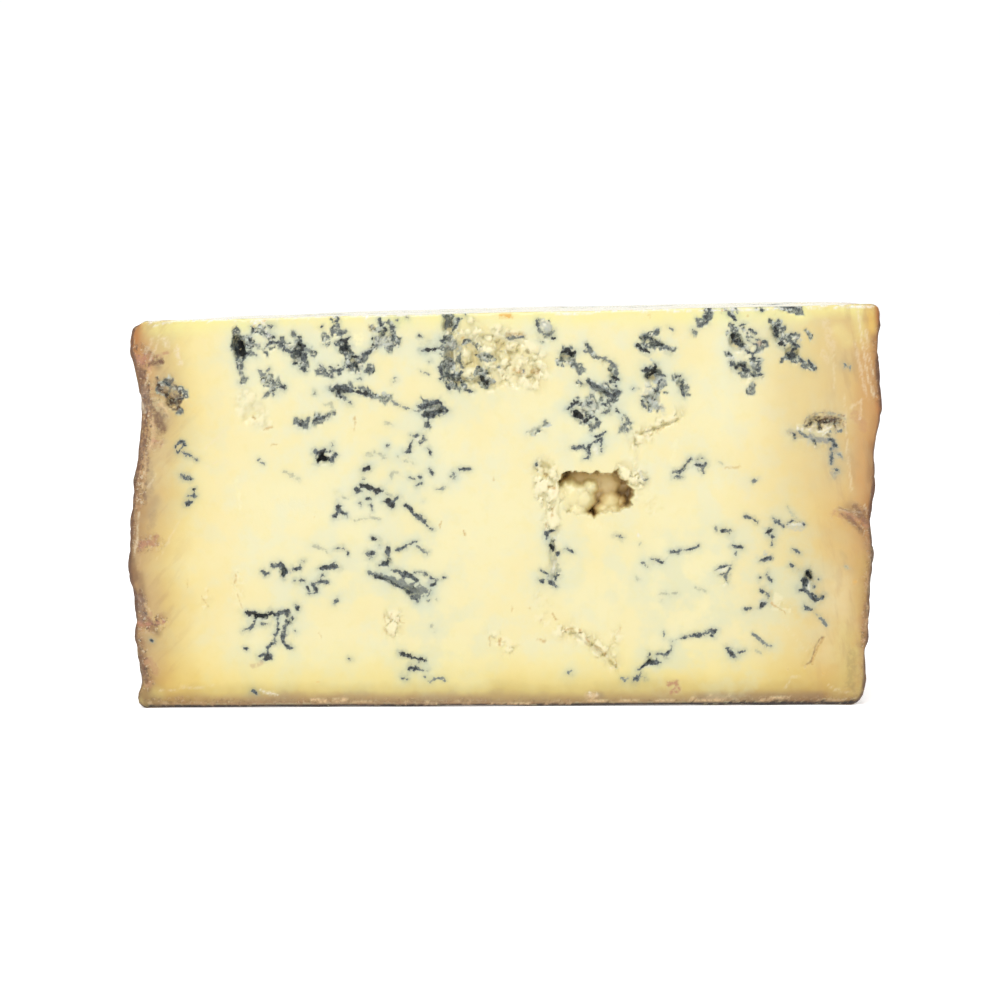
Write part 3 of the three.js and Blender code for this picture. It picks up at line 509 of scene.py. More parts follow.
        [2, 0.8, 150, 352, 156, 356, 162, 364],
        [5, 0.6, 140, 376, 143, 384], [3, 0.7, 150, 402, 152, 418], [3, 0.6, 158, 420, 160, 430],
        [3.5, 0.9, 147, 366, 152, 362, 157, 364, 162, 361], [4, 0.8, 139, 372, 142, 384],
        [3, 0.6, 154, 408, 158, 416],
        [2.5, 0.8, 133, 330, 131, 344, 133, 360, 138, 376],
        [2.5, 0.7, 138, 384, 143, 400, 142, 420, 139, 440, 136, 470],
        [2, 0.7, 145, 420, 144, 440, 140, 458, 137, 480], [3, 0.5, 146, 455, 148, 470],
        [3, 0.5, 143, 490, 146, 505],
        [2, 0.6, 140, 590, 143, 604], [3, 0.6, 150, 620, 158, 626], [2, 0.6, 140, 650, 143, 668, 146, 684],
        [2, 0.9, 149, 385, 148, 400, 146, 415, 148, 430, 143, 450, 139, 470], [12, 0.35, 160, 386, 176, 402],
        [9, 0.7, 141, 372, 142, 385], [4, 0.7, 148, 365, 156, 363, 162, 361], [10, 0.7, 157, 414, 162, 430],
        [3, 0.7, 133, 332, 132, 350, 135, 364], [2, 0.7, 133, 510, 131, 545],
        [3, 0.7, 137, 640, 142, 660, 147, 682], [2, 0.7, 144, 396, 146, 418, 142, 446, 138, 470],
        [5, 0.6, 855, 506, 866, 522], [3, 0.5, 820, 421, 834, 418], [3, 0.6, 874, 476, 872, 500],
        [2, 0.6, 836, 508, 846, 518, 856, 524, 862, 530], [1.6, 0.8, 838, 507, 847, 511, 856, 513, 865, 511],
        [1.4, 0.7, 847, 515, 854, 521, 862, 526],
        [1.6, 0.55, 825, 637, 820, 639, 816, 645, 814, 654, 811, 662, 804, 667],
    ],
    "mould": [
        [9, 0.5, 144, 388, 146, 408], [8, 0.25, 143, 448, 150, 475, 148, 495], [8, 0.5, 140, 600, 143, 618],
        [6, 0.5, 171, 382, 176, 395], [7, 0.2, 155, 512, 150, 528],
    ],
    # Contact: painted shadow under the foot, and dark lines along the right edge
    "contact_shadow": [
        [3, 1.0, 150, 707, 240, 706.8, 320, 705.8, 420, 706.2, 520, 706.3, 600, 704.6],
        [4, 1.0, 600, 704.6, 660, 704.4, 720, 703.6, 780, 703, 840, 703, 862, 703.2],
        [1.6, 0.8, 878, 445, 877, 470, 875, 500], [1.4, 0.7, 872, 530, 871, 592],
    ],
    # Fold: painted sheen on the creases of the clear film, over a slight ridge
    "fold_sheen": [
        [2, 0.5, 160, 336, 156, 346, 150, 360], [5, 0.6, 165, 338, 167, 346], [5, 0.6, 177, 348, 180, 362],
        [4, 0.4, 152, 340, 146, 352], [1.5, 0.6, 148, 375, 145, 388], [2, 0.35, 225, 430, 205, 448],
        [2, 0.35, 222, 458, 208, 467], [2, 0.4, 156, 474, 148, 488], [3, 0.5, 140, 396, 144, 412],
        [2.2, 0.6, 858, 310, 862, 340, 866, 370, 874, 395], [2, 0.5, 866, 330, 868, 352, 873, 378],
        [3, 0.4, 855, 342, 859, 362, 867, 398], [1.4, 0.4, 833, 355, 835, 390],
        [1.6, 0.4, 844, 396, 847, 450, 852, 490], [8, 0.3, 826, 322, 832, 348], [5, 0.3, 822, 350, 828, 362],
        [2, 0.4, 850, 408, 862, 400, 860, 420], [1.5, 0.5, 141, 502, 137, 535, 135, 555],
        [2, 0.3, 835, 508, 848, 512, 862, 512], [2, 0.5, 864, 504, 867, 512], [1.5, 0.3, 780, 620, 808, 652],
        [2, 0.35, 786, 688, 792, 676, 800, 678], [1.5, 0.4, 828, 684, 836, 690, 850, 692],
        [1.5, 0.4, 160, 690, 200, 688, 214, 684], [1.5, 0.3, 180, 520, 158, 560],
    ],
}

# Marks that are soft enough for the coarser mesh
SOFT_MARKS = ("glint", "fold_sheen", "contact_shadow", "flake", "orange", "olive")

# Broad soft tints, as [width, strength, x, y, ...] under their colour: mostly the paste's and rind's own
# colour near the edges, with painted light along the top edge and painted shadow under the foot
TINTS_AND_PAINTED_LIGHT = {
    (196, 168, 118): [
        [36, 0.6, 160, 366, 164, 410], [26, 0.6, 162, 410, 160, 450], [18, 0.5, 146, 440, 142, 500],
        [12, 0.6, 136, 505, 134, 560], [16, 0.5, 140, 640, 146, 690],
    ],
    (226, 200, 142): [
        [44, 0.4, 150, 350, 160, 450], [30, 0.4, 164, 450, 160, 520], [30, 0.3, 150, 560, 152, 660],
        [60, 0.35, 800, 395, 812, 460], [44, 0.5, 844, 330, 842, 480], [30, 0.3, 842, 540, 838, 620],
    ],
    # Pale yellow along the top edge: painted light from above
    (255, 246, 158): [
        [22, 0.7, 146, 326, 240, 320], [16, 0.8, 800, 309, 868, 307], [14, 0.4, 858, 318, 864, 345],
    ],
    # Pale yellow along the top edge and at the top right corner: painted light from above
    (255, 244, 162): [
        [18, 0.6, 240, 320, 400, 316], [22, 0.8, 400, 317, 800, 312], [14, 0.4, 846, 340, 838, 330],
    ],
    (248, 232, 178): [
        [40, 0.45, 836, 590, 836, 650],
    ],
    (212, 160, 94): [
        [20, 0.6, 866, 350, 862, 480], [22, 0.7, 136, 330, 146, 372], [14, 0.4, 144, 430, 140, 470],
        [12, 0.5, 876, 400, 877, 440], [14, 0.4, 862, 480, 862, 500],
    ],
    (226, 206, 128): [
        [26, 0.5, 844, 630, 842, 690], [14, 0.5, 862, 690, 858, 650], [14, 0.6, 142, 700, 158, 696],
    ],
    (240, 200, 104): [
        [10, 0.8, 869, 304, 872, 330],
    ],
    (190, 118, 52): [
        [14, 0.85, 134, 324, 134, 354], [6, 0.8, 876, 303, 880, 322], [5, 0.6, 878, 400, 880, 440],
    ],
    (214, 188, 108): [
        [22, 0.55, 854, 640, 852, 690], [24, 0.35, 500, 690, 700, 688], [16, 0.3, 140, 696, 260, 690],
        [18, 0.4, 864, 560, 858, 610], [24, 0.35, 720, 690, 850, 686], [20, 0.4, 148, 690, 156, 700],
    ],
    (124, 90, 58): [
        [6, 0.8, 872, 530, 871, 590], [14, 0.7, 860, 514, 850, 510], [6, 0.6, 848, 518, 862, 532],
        [10, 0.6, 136, 362, 144, 384], [5, 0.4, 866, 604, 864, 640], [10, 0.6, 158, 416, 163, 428],
        [5, 0.8, 877, 448, 876, 500], [8, 0.4, 872, 445, 870, 480], [5, 0.6, 134, 520, 132, 560],
        [8, 0.5, 140, 575, 143, 600], [8, 0.6, 148, 622, 158, 634], [7, 0.5, 140, 640, 148, 690],
        [8, 0.5, 146, 352, 158, 366], [7, 0.6, 131, 556, 136, 580], [12, 0.5, 140, 694, 158, 702],
    ],
    # Near-black along the foot: painted shadow under it
    (34, 20, 14): [
        [4, 0.9, 150, 707, 240, 707, 320, 706.5, 420, 706.5, 520, 706.5, 600, 705],
        [5, 1.0, 600, 705, 660, 704.6, 720, 704, 780, 703.4, 840, 703.4, 862, 703.4],
    ],
    (126, 106, 96): [
        [9, 0.6, 144, 388, 146, 408], [8, 0.3, 139, 450, 137, 496], [9, 0.7, 140, 598, 143, 616],
        [10, 0.25, 150, 515, 156, 500], [9, 0.4, 700, 697, 820, 696], [8, 0.4, 590, 695, 600, 696],
    ],
}

# Rind that shows at the edges of the face, rough and mottled: [width, strength, x, y, ...]
DIRT = [
    [16, 0.9, 140, 352, 140, 372, 143, 385, 146, 405, 145, 425], [14, 0.8, 142, 430, 140, 470, 137, 500],
    [16, 0.6, 156, 400, 158, 424], [14, 0.5, 150, 445, 158, 440], [12, 0.9, 140, 598, 142, 618],
    [13, 0.95, 138, 623, 150, 625, 160, 621], [11, 0.9, 138, 640, 144, 664, 148, 684],
    [8, 0.5, 134, 505, 132, 545], [14, 0.7, 140, 545, 156, 542], [6, 0.35, 146, 701, 300, 703],
    [6, 0.3, 300, 703, 600, 702, 862, 700], [12, 0.4, 854, 510, 866, 518], [8, 0.5, 858, 522, 866, 532],
    [7, 0.5, 870, 530, 869, 592], [8, 0.5, 868, 600, 864, 642], [6, 0.4, 864, 646, 863, 694],
    [6, 0.5, 877, 330, 878, 400], [8, 0.4, 162, 384, 174, 402],
]

# Paste that crumbles: [width, strength, x, y, ...]
CRUMBLY = [
    [28, 0.65, 245, 400, 262, 420], [18, 0.9, 394, 616, 392, 630], [26, 1.0, 545, 470, 546, 495],
    [14, 0.95, 562, 632, 573, 630, 584, 639, 592, 641, 600, 651, 607, 654, 614, 664],
    [11, 0.75, 618, 630, 614, 640, 606, 650],
    [12, 0.95, 680, 414, 668, 424, 659, 423, 650, 433, 641, 432, 634, 440],
    [14, 0.5, 637, 440, 636, 462], [22, 0.5, 540, 598, 545, 620],
    [16, 0.7, 495, 638, 510, 648], [22, 0.9, 625, 472, 640, 480], [16, 0.9, 552, 508, 552, 528],
    [18, 0.5, 640, 500, 655, 510], [42, 0.8, 464, 336, 466, 362, 500, 370], [48, 0.8, 500, 347, 530, 368],
    [16, 0.5, 236, 575, 240, 605], [14, 0.5, 208, 590, 205, 604], [20, 0.6, 648, 400, 655, 385],
    [12, 0.6, 553, 540, 556, 575], [24, 0.5, 775, 598, 782, 612], [20, 0.5, 740, 345, 755, 360],
]

# Where the solid itself is hollow: [width, strength, x, y, ...]. Then the hollow's ragged rim as
# x, y, x, y, ... in pixels, its depth, and how far its wall reaches in from the rim, in mm
HOLLOWS = [[60, 1.0, 578, 490, 614, 490]]
HOLLOW_OUTLINE = [
    558, 485, 562, 473, 571, 472, 580, 471, 590, 473, 597, 470, 605, 474, 612, 473, 618, 470, 621, 477,
    628, 481, 630, 487, 634, 491, 632, 499, 632, 504, 626, 508, 619, 512, 609, 513, 600, 514, 595, 517,
    585, 515, 576, 514, 566, 512, 560, 505, 558, 495,
]
HOLLOW_DEPTH = 7.4
HOLLOW_WALL = 0.7
# What stands in the hollow: [x, y, radius, depth of its crown in mm], radius in pixels
HOLLOW_LUMPS = [
    [571, 498, 20, 0.7], [584, 500, 14, 0.9], [590, 488, 9, 0.4], [577, 512, 13, 0.4], [561, 508, 16, 0.2],
    [558, 496, 13, 0.2], [580, 492, 10, 1.0], [566, 488, 8, 1.8],
    [581, 485, 17, 4.4], [592, 484, 15, 4.0], [607, 484, 16, 4.2], [599, 494, 9, 5.4],
    [611, 503, 13, 3.0], [604, 511, 10, 2.6], [614, 512, 9, 2.4], [621, 504, 8, 4.2], [624, 486, 8, 6.2],
]
# Single curds: [x, y, radius, lift in mm, rank], radius in pixels; a low rank is pale, a high one grey
CURDS = [
    [545, 326, 8, 0.3, 0.05], [590, 489, 5, 1.0, 0.0], [357, 340, 5.5, 0.5, 0.0], [578, 495, 13, 0.3, 0.3],
    [566, 502, 8, 0.2, 0.3], [571, 487, 7, -0.2, 0.3], [553, 522, 8, 0.3, 0.1], [600, 523, 5, 0.3, 0.1],
    [626, 474, 6, 0.4, 0.1], [634, 480, 5, 0.5, 0.1], [642, 480, 3, 0.5, 0.0], [594, 450, 6, 0.1, 0.2],
    [586, 453, 5, 0.1, 0.3], [597, 384, 9, 0.1, 0.3], [610, 347, 7, 0.1, 0.3], [646, 385, 9, 0.1, 0.2],
    [472, 368, 7, 0.2, 0.3], [466, 352, 6, 0.1, 0.3], [506, 348, 5, 0.5, 0.0], [497, 336, 6, 0.2, 0.2],
    [518, 341, 7, 0.1, 0.2], [520, 360, 7, 0.2, 0.2], [458, 374, 5, 0.1, 0.5], [484, 372, 4, 0.1, 0.4],
    [528, 383, 6, 0.2, 0.2], [552, 473, 5, 0.3, 0.1], [544, 487, 6, 0.2, 0.2], [553, 495, 6, 0.3, 0.1],
    [540, 470, 4, 0.2, 0.2], [556, 467, 4, 0.2, 0.1], [797, 428, 3, 0.2, 0.3], [815, 431, 5, 0.3, 0.1],
    [825, 432, 5, 0.2, 0.2], [806, 432, 4, 0.2, 0.2], [832, 419, 6, 0.1, 0.1],
    [655, 405, 6, 0.3, 0.6], [650, 392, 5, 0.2, 0.3],
]

# Paste tinted green or grey by the mould in it, away from the veins: [width, strength, x, y, ...]
CLOUDS = [
    [60, 0.35, 250, 345, 300, 355], [60, 0.3, 370, 340], [60, 0.3, 400, 450, 420, 520],
    [90, 0.35, 420, 600, 440, 640], [70, 0.35, 330, 575], [70, 0.3, 270, 635], [90, 0.25, 600, 560, 660, 590],
    [110, 0.35, 700, 570, 760, 600], [90, 0.35, 700, 640, 740, 660], [80, 0.3, 590, 410], [80, 0.3, 650, 390],
    [60, 0.3, 780, 540, 800, 590], [50, 0.35, 640, 660, 660, 670], [70, 0.35, 450, 340, 470, 380],
    [50, 0.3, 820, 430], [60, 0.2, 188, 470], [50, 0.3, 555, 570],
]

# ---------------------------------------------------------------- colours
# Given as they look in the photograph, 0 to 255 in sRGB; `own` turns them to the surface's own.
# The two tints, which multiply what is below them, and the floor's white are linear
SEEN_TO_OWN = 0.62
CREAM = (252, 242, 189)
BUTTER = (252, 238, 178)
HALO = (206, 208, 178)
HALO_TINT = (0.62, 0.72, 0.88, 1)
PALE_TINT = (0.91, 0.98, 1.15, 1)
CLOUD = (232, 230, 186)
HAZE = (158, 165, 150)
ASH = (206, 212, 204)
VEIN_BLACK = (38, 40, 38)
VEIN_SLATE = (90, 98, 99)
VEIN_GREY = (136, 142, 133)
VEIN_FAINT = (190, 192, 164)
CRUMB_LIGHT = (255, 246, 202)
# Painted shade in the crumbs' gaps and on their sides turned from the light
CRUMB_PAINTED_SHADE = (238, 220, 160)
# The paste that lies behind the cut face, in the hollow and the pockets, darker the deeper it lies as
# painted shade: [millimetres deep, colour]
SUNK_PAINTED_SHADE = [(1, (252, 240, 186)), (3, (250, 232, 168)), (4.5, (238, 208, 144)), (6, (212, 180, 122)),
          (8, (172, 140, 94))]
DEEPEST = 10
PALE_PASTE = (243, 240, 202)
GOLD_PASTE = (250, 235, 166)
DIRT_BROWN = (150, 104, 60)
DIRT_ROSE = (208, 160, 118)
DIRT_FLECK = (224, 204, 172)
DIRT_DARK = (74, 52, 38)
EDGE_LINE = (92, 54, 26)
STREAK = (192, 156, 104)
# How the paste darkens towards the rind: [millimetres from it, colour]
LEFT_BAND = [(0.4, (134, 86, 42)), (1.6, (172, 126, 72)), (4, (202, 168, 110)), (8, (226, 197, 124)),
             (12, (240, 217, 144)), (17, (250, 232, 164)), (26, (252, 239, 182)), (32, CREAM)]
RIGHT_BAND = [(0.3, (116, 72, 34)), (1.2, (172, 120, 60)), (3.5, (210, 163, 94)), (8, (224, 184, 108)),
              (15, (234, 207, 138)), (22, (241, 220, 154)), (32, (249, 234, 176)), (42, CREAM)]
# Along the foot, the near-black first stop is painted shadow where the foot meets the floor
FOOT_BAND = [(0.45, (54, 36, 24)), (0.95, (168, 130, 90)), (1.6, (172, 142, 98)), (2.8, (192, 162, 108)),
             (4.5, (228, 207, 132)), (7.2, (248, 231, 156)), (13, (253, 240, 178)), (18, CREAM)]
RIND_TAN = (176, 138, 96)
RIND_DARK = (112, 82, 60)
RIND_PALE = (206, 188, 160)
RIND_ROSE = (188, 140, 110)
RIND_GREY = (150, 128, 104)
FLOOR_WHITE = (0.97, 0.97, 0.97, 1)

# Strength of the room's light and of the floor's own, then the floor and the lamp in metres and watts
LIGHT_WORLD = 1.03
FLOOR_GLOW = 0.22
FLOOR_REACH = 6
LAMP_PLACE = (-0.12, -0.75, 1.1)
LAMP_TARGET = (0.0, -0.05, 0.04)
LAMP_SIZE = 0.6
LAMP_POWER = 9.0

# ---------------------------------------------------------------- lumps of crumbling paste, in mm
# Tries for each square of the middle radius, how near two middles may lie as a share of both
# radii, and the sides of each lump
LUMP_TRIES = 2.5
LUMP_CROWDING = 0.66
LUMP_SIDES = 5
LUMP_SEED = 5
CRUMB_SIZES = (0.45, 2.3)
MOULD_SIZES = (0.3, 1.1)
# The side of a lump that is lit, and the height that stands for no lump
UPPER_LEFT = (-0.6, 0.8)
BARE_GROUND = -0.5

# ---------------------------------------------------------------- fields and fine relief, in mm
# What stands for no vein, where distances from an edge and depths are cut off, and the height up to
# which the edges of the upright cut are read
NO_VEIN = -4.0
FAR_FROM_EDGE = 60.0
MOST_SUNK = 14
FACE_TOP = 108
# On the level cut, distances from the rim count inwards from this radius, and this many times over,
# so that its browned band is narrow. Its gloss rises between two of these distances
LID_RADIUS = 98.5
LID_SQUEEZE = 3
LID_GLOSS_RISE = (3, 12)
# Depth of a vein's pit and of a mark whose depth is given as 1, and the most that the foot is off
# the ground
VEIN_PIT = 0.45
MARK_DEPTH = 0.5
FOOT_LIFT = 0.9
# How surfaces fall back at their edges: (width, depth)
SIDE_ROUND = (1.3, 0.45)
HEEL_ROUND = (1.2, 0.4)
LID_ROUND = (40, 0.6)


# ---------------------------------------------------------------- number helpers
def linear(colour):
    """An sRGB colour of 0 to 255 as linear RGBA."""
    share = np.array(colour, float) / 255
    low = share / 12.92
    high = ((share + 0.055) / 1.055) ** 2.4
    return (*np.where(share <= 0.04045, low, high), 1.0)


def own(colour):
    """The surface's own colour, linear, for one as it looks in the photograph's light."""
    return (*(SEEN_TO_OWN * channel for channel in linear(colour)[:3]), 1.0)


def smooth_step(low, high, value):
    """0 below low, 1 above high, and a smooth rise between them."""
    share = np.clip((value - low) / (high - low), 0, 1)
    return share * share * (3 - 2 * share)


def lattice(cells, seed):
    """A repeatable number from -1 to 1 for each row of three whole numbers."""
    mixed = cells @ np.array([374761393, 668265263, 2147483647]) + seed * 974634777
    mixed &= 0xFFFFFFFF
    mixed = ((mixed ^ (mixed >> 13)) * 1274126177) & 0xFFFFFFFF
    mixed ^= mixed >> 16
    return mixed / 0x7FFFFFFF - 1


def noise(points, size, seed=0):
    """Smooth unevenness from -1 to 1 at each point, with bumps of about the given size."""
    scaled = points / size
    cell = np.floor(scaled).astype(np.int64)
    share = scaled - cell
    share = share * share * (3 - 2 * share)
    total = np.zeros(len(points))
    for corner in product((0, 1), repeat=3):
        weight = np.prod(np.where(corner, share, 1 - share), axis=1)
        total += weight * lattice(cell + np.array(corner), seed)
    return total


def layered_noise(points, size, seed=0, layers=3):
    """Noise with finer and weaker noise on top."""
    return sum(noise(points, size / 2 ** i, seed + i) / 2 ** i for i in range(layers))


def ridges(points, size, seed=0):
    """0 to 1, highest along crooked lines."""
    return 1 - np.abs(layered_noise(points, size, seed, 2))


def scatter(strokes, small, large, seed):
    """Lumps strewn along strokes, as rows of [x, z, radius, lift, rank]: few overlap."""
    random = np.random.default_rng(seed)
    lumps = np.empty((0, 5))
    middle = (small + large) / 2
    for half, _, corners in strokes:
        spans = np.diff(corners, axis=0) if len(corners) > 1 else np.zeros((1, 2))
        area = 2 * half * np.hypot(*spans.T).sum() + math.pi * half ** 2
        for _ in range(int(LUMP_TRIES * area / middle ** 2)):
            step = random.integers(len(spans))
            spread, turn, size, lift, rank = random.random(5)
            reach = half * math.sqrt(spread)
            aside = reach * np.array([math.cos(2 * math.pi * turn), math.sin(2 * math.pi * turn)])
            place = corners[step] + random.random() * spans[step] + aside
            radius = small + (large - small) * size ** 2
            distance = np.hypot(*(lumps[:, :2] - place).T)
            if np.all(distance > LUMP_CROWDING * (lumps[:, 2] + radius)):
                lumps = np.vstack([lumps, [*place, radius, 0.5 * lift - 0.35, rank]])
    return lumps


def lump_fields(places, lumps):
    """Height in mm of the lump that stands highest at each place, its rank, and which side of it this is.

    Bare ground is low. The side runs from -1 at a lump's lower right to 1 at its upper left.
    """
    height = np.full(len(places), BARE_GROUND)
    rank = np.zeros(len(places))
    side = np.zeros(len(places))
    order = np.argsort(places[:, 0])
    across = places[order, 0]
    random = np.random.default_rng(LUMP_SEED)
    for x, z, radius, lift, number in lumps:
        turns = 2 * math.pi * (np.arange(LUMP_SIDES) + random.random(LUMP_SIDES)) / LUMP_SIDES
        sides = np.column_stack([np.cos(turns), np.sin(turns)])
        sides = sides / random.uniform(0.6, 0.95, LUMP_SIDES)[:, None]
        tilt = random.normal(0, 0.25, 2)
        span = np.searchsorted(across, [x - radius, x + radius])
        picked = order[span[0]:span[1]]
        picked = picked[np.abs(places[picked, 1] - z) < radius]
        away = (places[picked] - (x, z)) / radius
        distance = np.max(away @ sides.T, axis=1, initial=0)
        crown = np.sqrt(np.clip(1 - distance ** 3, 0, 1)) + away @ tilt
        dome = lift + 0.5 * min(radius, 1.4) * crown
        higher = (distance < 1) & (dome > height[picked])
        height[picked] = np.where(higher, dome, height[picked])
        rank[picked] = np.where(higher, number, rank[picked])
        side[picked] = np.where(higher, away @ UPPER_LEFT, side[picked])
    return height, rank, side


def on_plane(places):
    """Places on the face as points for the noise."""
    return np.column_stack([places[:, 0], np.zeros(len(places)), places[:, 1]])


def warped(places, amount, size, seed):
    """Places moved about by noise, so that strokes through them turn ragged."""
    spots = on_plane(places)
    drift = np.column_stack([layered_noise(spots, size, seed), layered_noise(spots, size, seed + 9)])
    return places + amount * drift


def stroke_distance(places, corners):
    """Distance of each place from a line through the corners, and how far along it that is, 0 to 1."""
    nearest = np.full(len(places), np.inf)
    along = np.zeros(len(places))
    if len(corners) == 1:
        return np.hypot(*(places - corners[0]).T), along + 0.5
    lengths = np.hypot(*np.diff(corners, axis=0).T)
    passed = 0.0
    for start, end, length in zip(corners[:-1], corners[1:], lengths):
        span = end - start
        share = np.clip((places - start) @ span / max(length * length, 1e-9), 0, 1)
        distance = np.hypot(*(places - start - share[:, None] * span).T)
        closer = distance < nearest
        nearest = np.where(closer, distance, nearest)
        along = np.where(closer, (passed + share * length) / lengths.sum(), along)
        passed += length
    return nearest, along


# ---------------------------------------------------------------- camera and its pixels
def make_camera():
    """The camera, at the photograph's place."""
    camera = bpy.data.objects.new("Camera", bpy.data.cameras.new("Camera"))
    bpy.context.scene.collection.objects.link(camera)
    turn = Matrix.Rotation(math.pi / 2 + CAMERA_PITCH, 4, "X") @ Matrix.Rotation(CAMERA_ROLL, 4, "Z")
    place = Vector((CAMERA_RIGHT, FACE_Y - CAMERA_DISTANCE, CAMERA_HEIGHT)) * MM
    camera.matrix_world = Matrix.Translation(place) @ turn
    camera.data.lens = CAMERA_LENS
    camera.data.sensor_width = SENSOR_WIDTH
    camera.data.clip_start, camera.data.clip_end = CAMERA_CLIP
    bpy.context.scene.camera = camera
    return camera


def on_face(pixels, camera):
    """Where the photograph's pixels lie on the upright cut face, as [x, z] in millimetres."""
    pixels = np.array(pixels, float)
    step = SENSOR_WIDTH / CAMERA_LENS / IMAGE_SIZE
    half = IMAGE_SIZE / 2
    rays = np.column_stack([
        (pixels[:, 0] - half) * step, (half - pixels[:, 1]) * step, -np.ones(len(pixels)),
    ])
    turn = np.array(camera.matrix_world.to_3x3())
    start = np.array(camera.matrix_world.translation) / MM
    rays = rays @ turn.T
    reach = (FACE_Y - start[1]) / rays[:, 1]
    hits = start + rays * reach[:, None]
    return hits[:, [0, 2]]


def pixel_size():
    """Millimetres of the cut face that one pixel covers."""
    return CAMERA_DISTANCE * SENSOR_WIDTH / CAMERA_LENS / IMAGE_SIZE


def strokes_on_face(rows, camera):
    """The rows of a list of marks as (half width, strength, corners), in millimetres on the face."""
    strokes = []
    for width, strength, *places in rows:
        corners = on_face(np.reshape(places, (-1, 2)), camera)
        strokes.append((width * pixel_size() / 2, strength, corners))
    return strokes


# ---------------------------------------------------------------- the solid that the skin is cast onto
class Solid:
    """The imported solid, in millimetres, as something to cast rays at."""

    def __init__(self, node):
        self.points = np.array([vertex.co for vertex in node.data.vertices]) / MM
        corners = [tuple(face.vertices) for face in node.data.polygons]
        self.tree = BVHTree.FromPolygons(self.points.tolist(), corners)

    def cast(self, starts, directions):
        """How far each ray runs before it meets the solid; nan where it misses."""
        found = []
        for start, direction in zip(starts.tolist(), directions.tolist()):
            found.append(self.tree.ray_cast(start, direction)[3])
        return np.array([math.nan if reach is None else reach for reach in found])


# The round along the level cut's rim, and how far out that cut's height is read
RIM_ROUND = 2.8
RIM_INSIDE = 95
# Half the width that the crest's points are spread over, where rays at the solid start, how far they
# keep from its edges, how far behind the cut face they read its sides and its crest, and at how
# many heights they read the sides
FACE_HALF = 99
FAR = 200
JUST_INSIDE = 0.3
SIDES_BEHIND = 0.6
CREST_BEHIND = 0.8
SIDE_LEVELS = 120


def edge_reach(solid, heights, side):
    """x of the rind just behind the cut face, at each height, on the side -1 or 1."""
    starts = np.column_stack([
        np.full(len(heights), side * FAR), np.full(len(heights), FACE_Y + SIDES_BEHIND), heights,
    ])
    directions = np.tile([-side, 0, 0], (len(heights), 1))
    return side * (FAR - solid.cast(starts, directions))


def face_depth(solid, places):
    """y of the upright face at each [x, z]."""
    starts = np.column_stack([places[:, 0], np.full(len(places), -FAR), places[:, 1]])
    directions = np.tile([0, 1, 0], (len(places), 1))
    return solid.cast(starts, directions) - FAR


def top_height(solid, plan):
    """z of the level cut at each [x, y]."""
    starts = np.column_stack([plan, np.full(len(plan), FAR)])
    directions = np.tile([0, 0, -1], (len(plan), 1))
    return FAR - solid.cast(starts, directions)


def rind_reach(solid, angles, heights):
    """Radius of the rind at each angle about the wheel's axis and each height."""
    outward = np.column_stack([np.cos(angles), np.sin(angles), np.zeros(len(angles))])
    starts = outward * FAR + np.column_stack([0 * angles, FACE_Y + 0 * angles, heights])
    return FAR - solid.cast(starts, -outward)


def filled(values):
    """A row of numbers with its gaps bridged from their neighbours."""
    known = np.flatnonzero(~np.isnan(values))
    return np.interp(np.arange(len(values)), known, values[known])


# ---------------------------------------------------------------- the skin's grids
def grid_faces(grid, outward):
    """The quads of a grid of point numbers, without the corners that fall together."""
    low, high = grid[:-1], grid[1:]
    quads = np.stack([low[:, :-1], low[:, 1:], high[:, 1:], high[:, :-1]], axis=-1).reshape(-1, 4)
    faces = []
    for quad in quads.tolist():
        corners = list(dict.fromkeys(quad))
        if len(corners) > 2:
            faces.append(corners if outward else corners[::-1])
    return faces


def shared_grids():
    """Point numbers of the four grids. Where two of them meet they use the same numbers."""
    count = 0

    def fresh(rows, columns):
        nonlocal count
        numbers = count + np.arange(rows * columns).reshape(rows, columns)
        count += rows * columns
        return numbers

    front = fresh(ROWS + 1, COLUMNS + 1)
    rind = front.copy()
    rind[:, 1:-1] = fresh(ROWS + 1, COLUMNS - 1)
    caps = []
    for rows, end in ((TOP_ROWS, -1), (FOOT_ROWS, 0)):
        cap = np.empty((rows + 1, COLUMNS + 1), int)
        cap[:, 0] = front[end, 0]
        cap[:, -1] = front[end, -1]
        cap[0] = front[end]
        cap[-1] = rind[end]
        cap[1:-1, 1:-1] = fresh(rows - 1, COLUMNS - 1)
        caps.append(cap)
    return front, rind, caps[0], caps[1], count


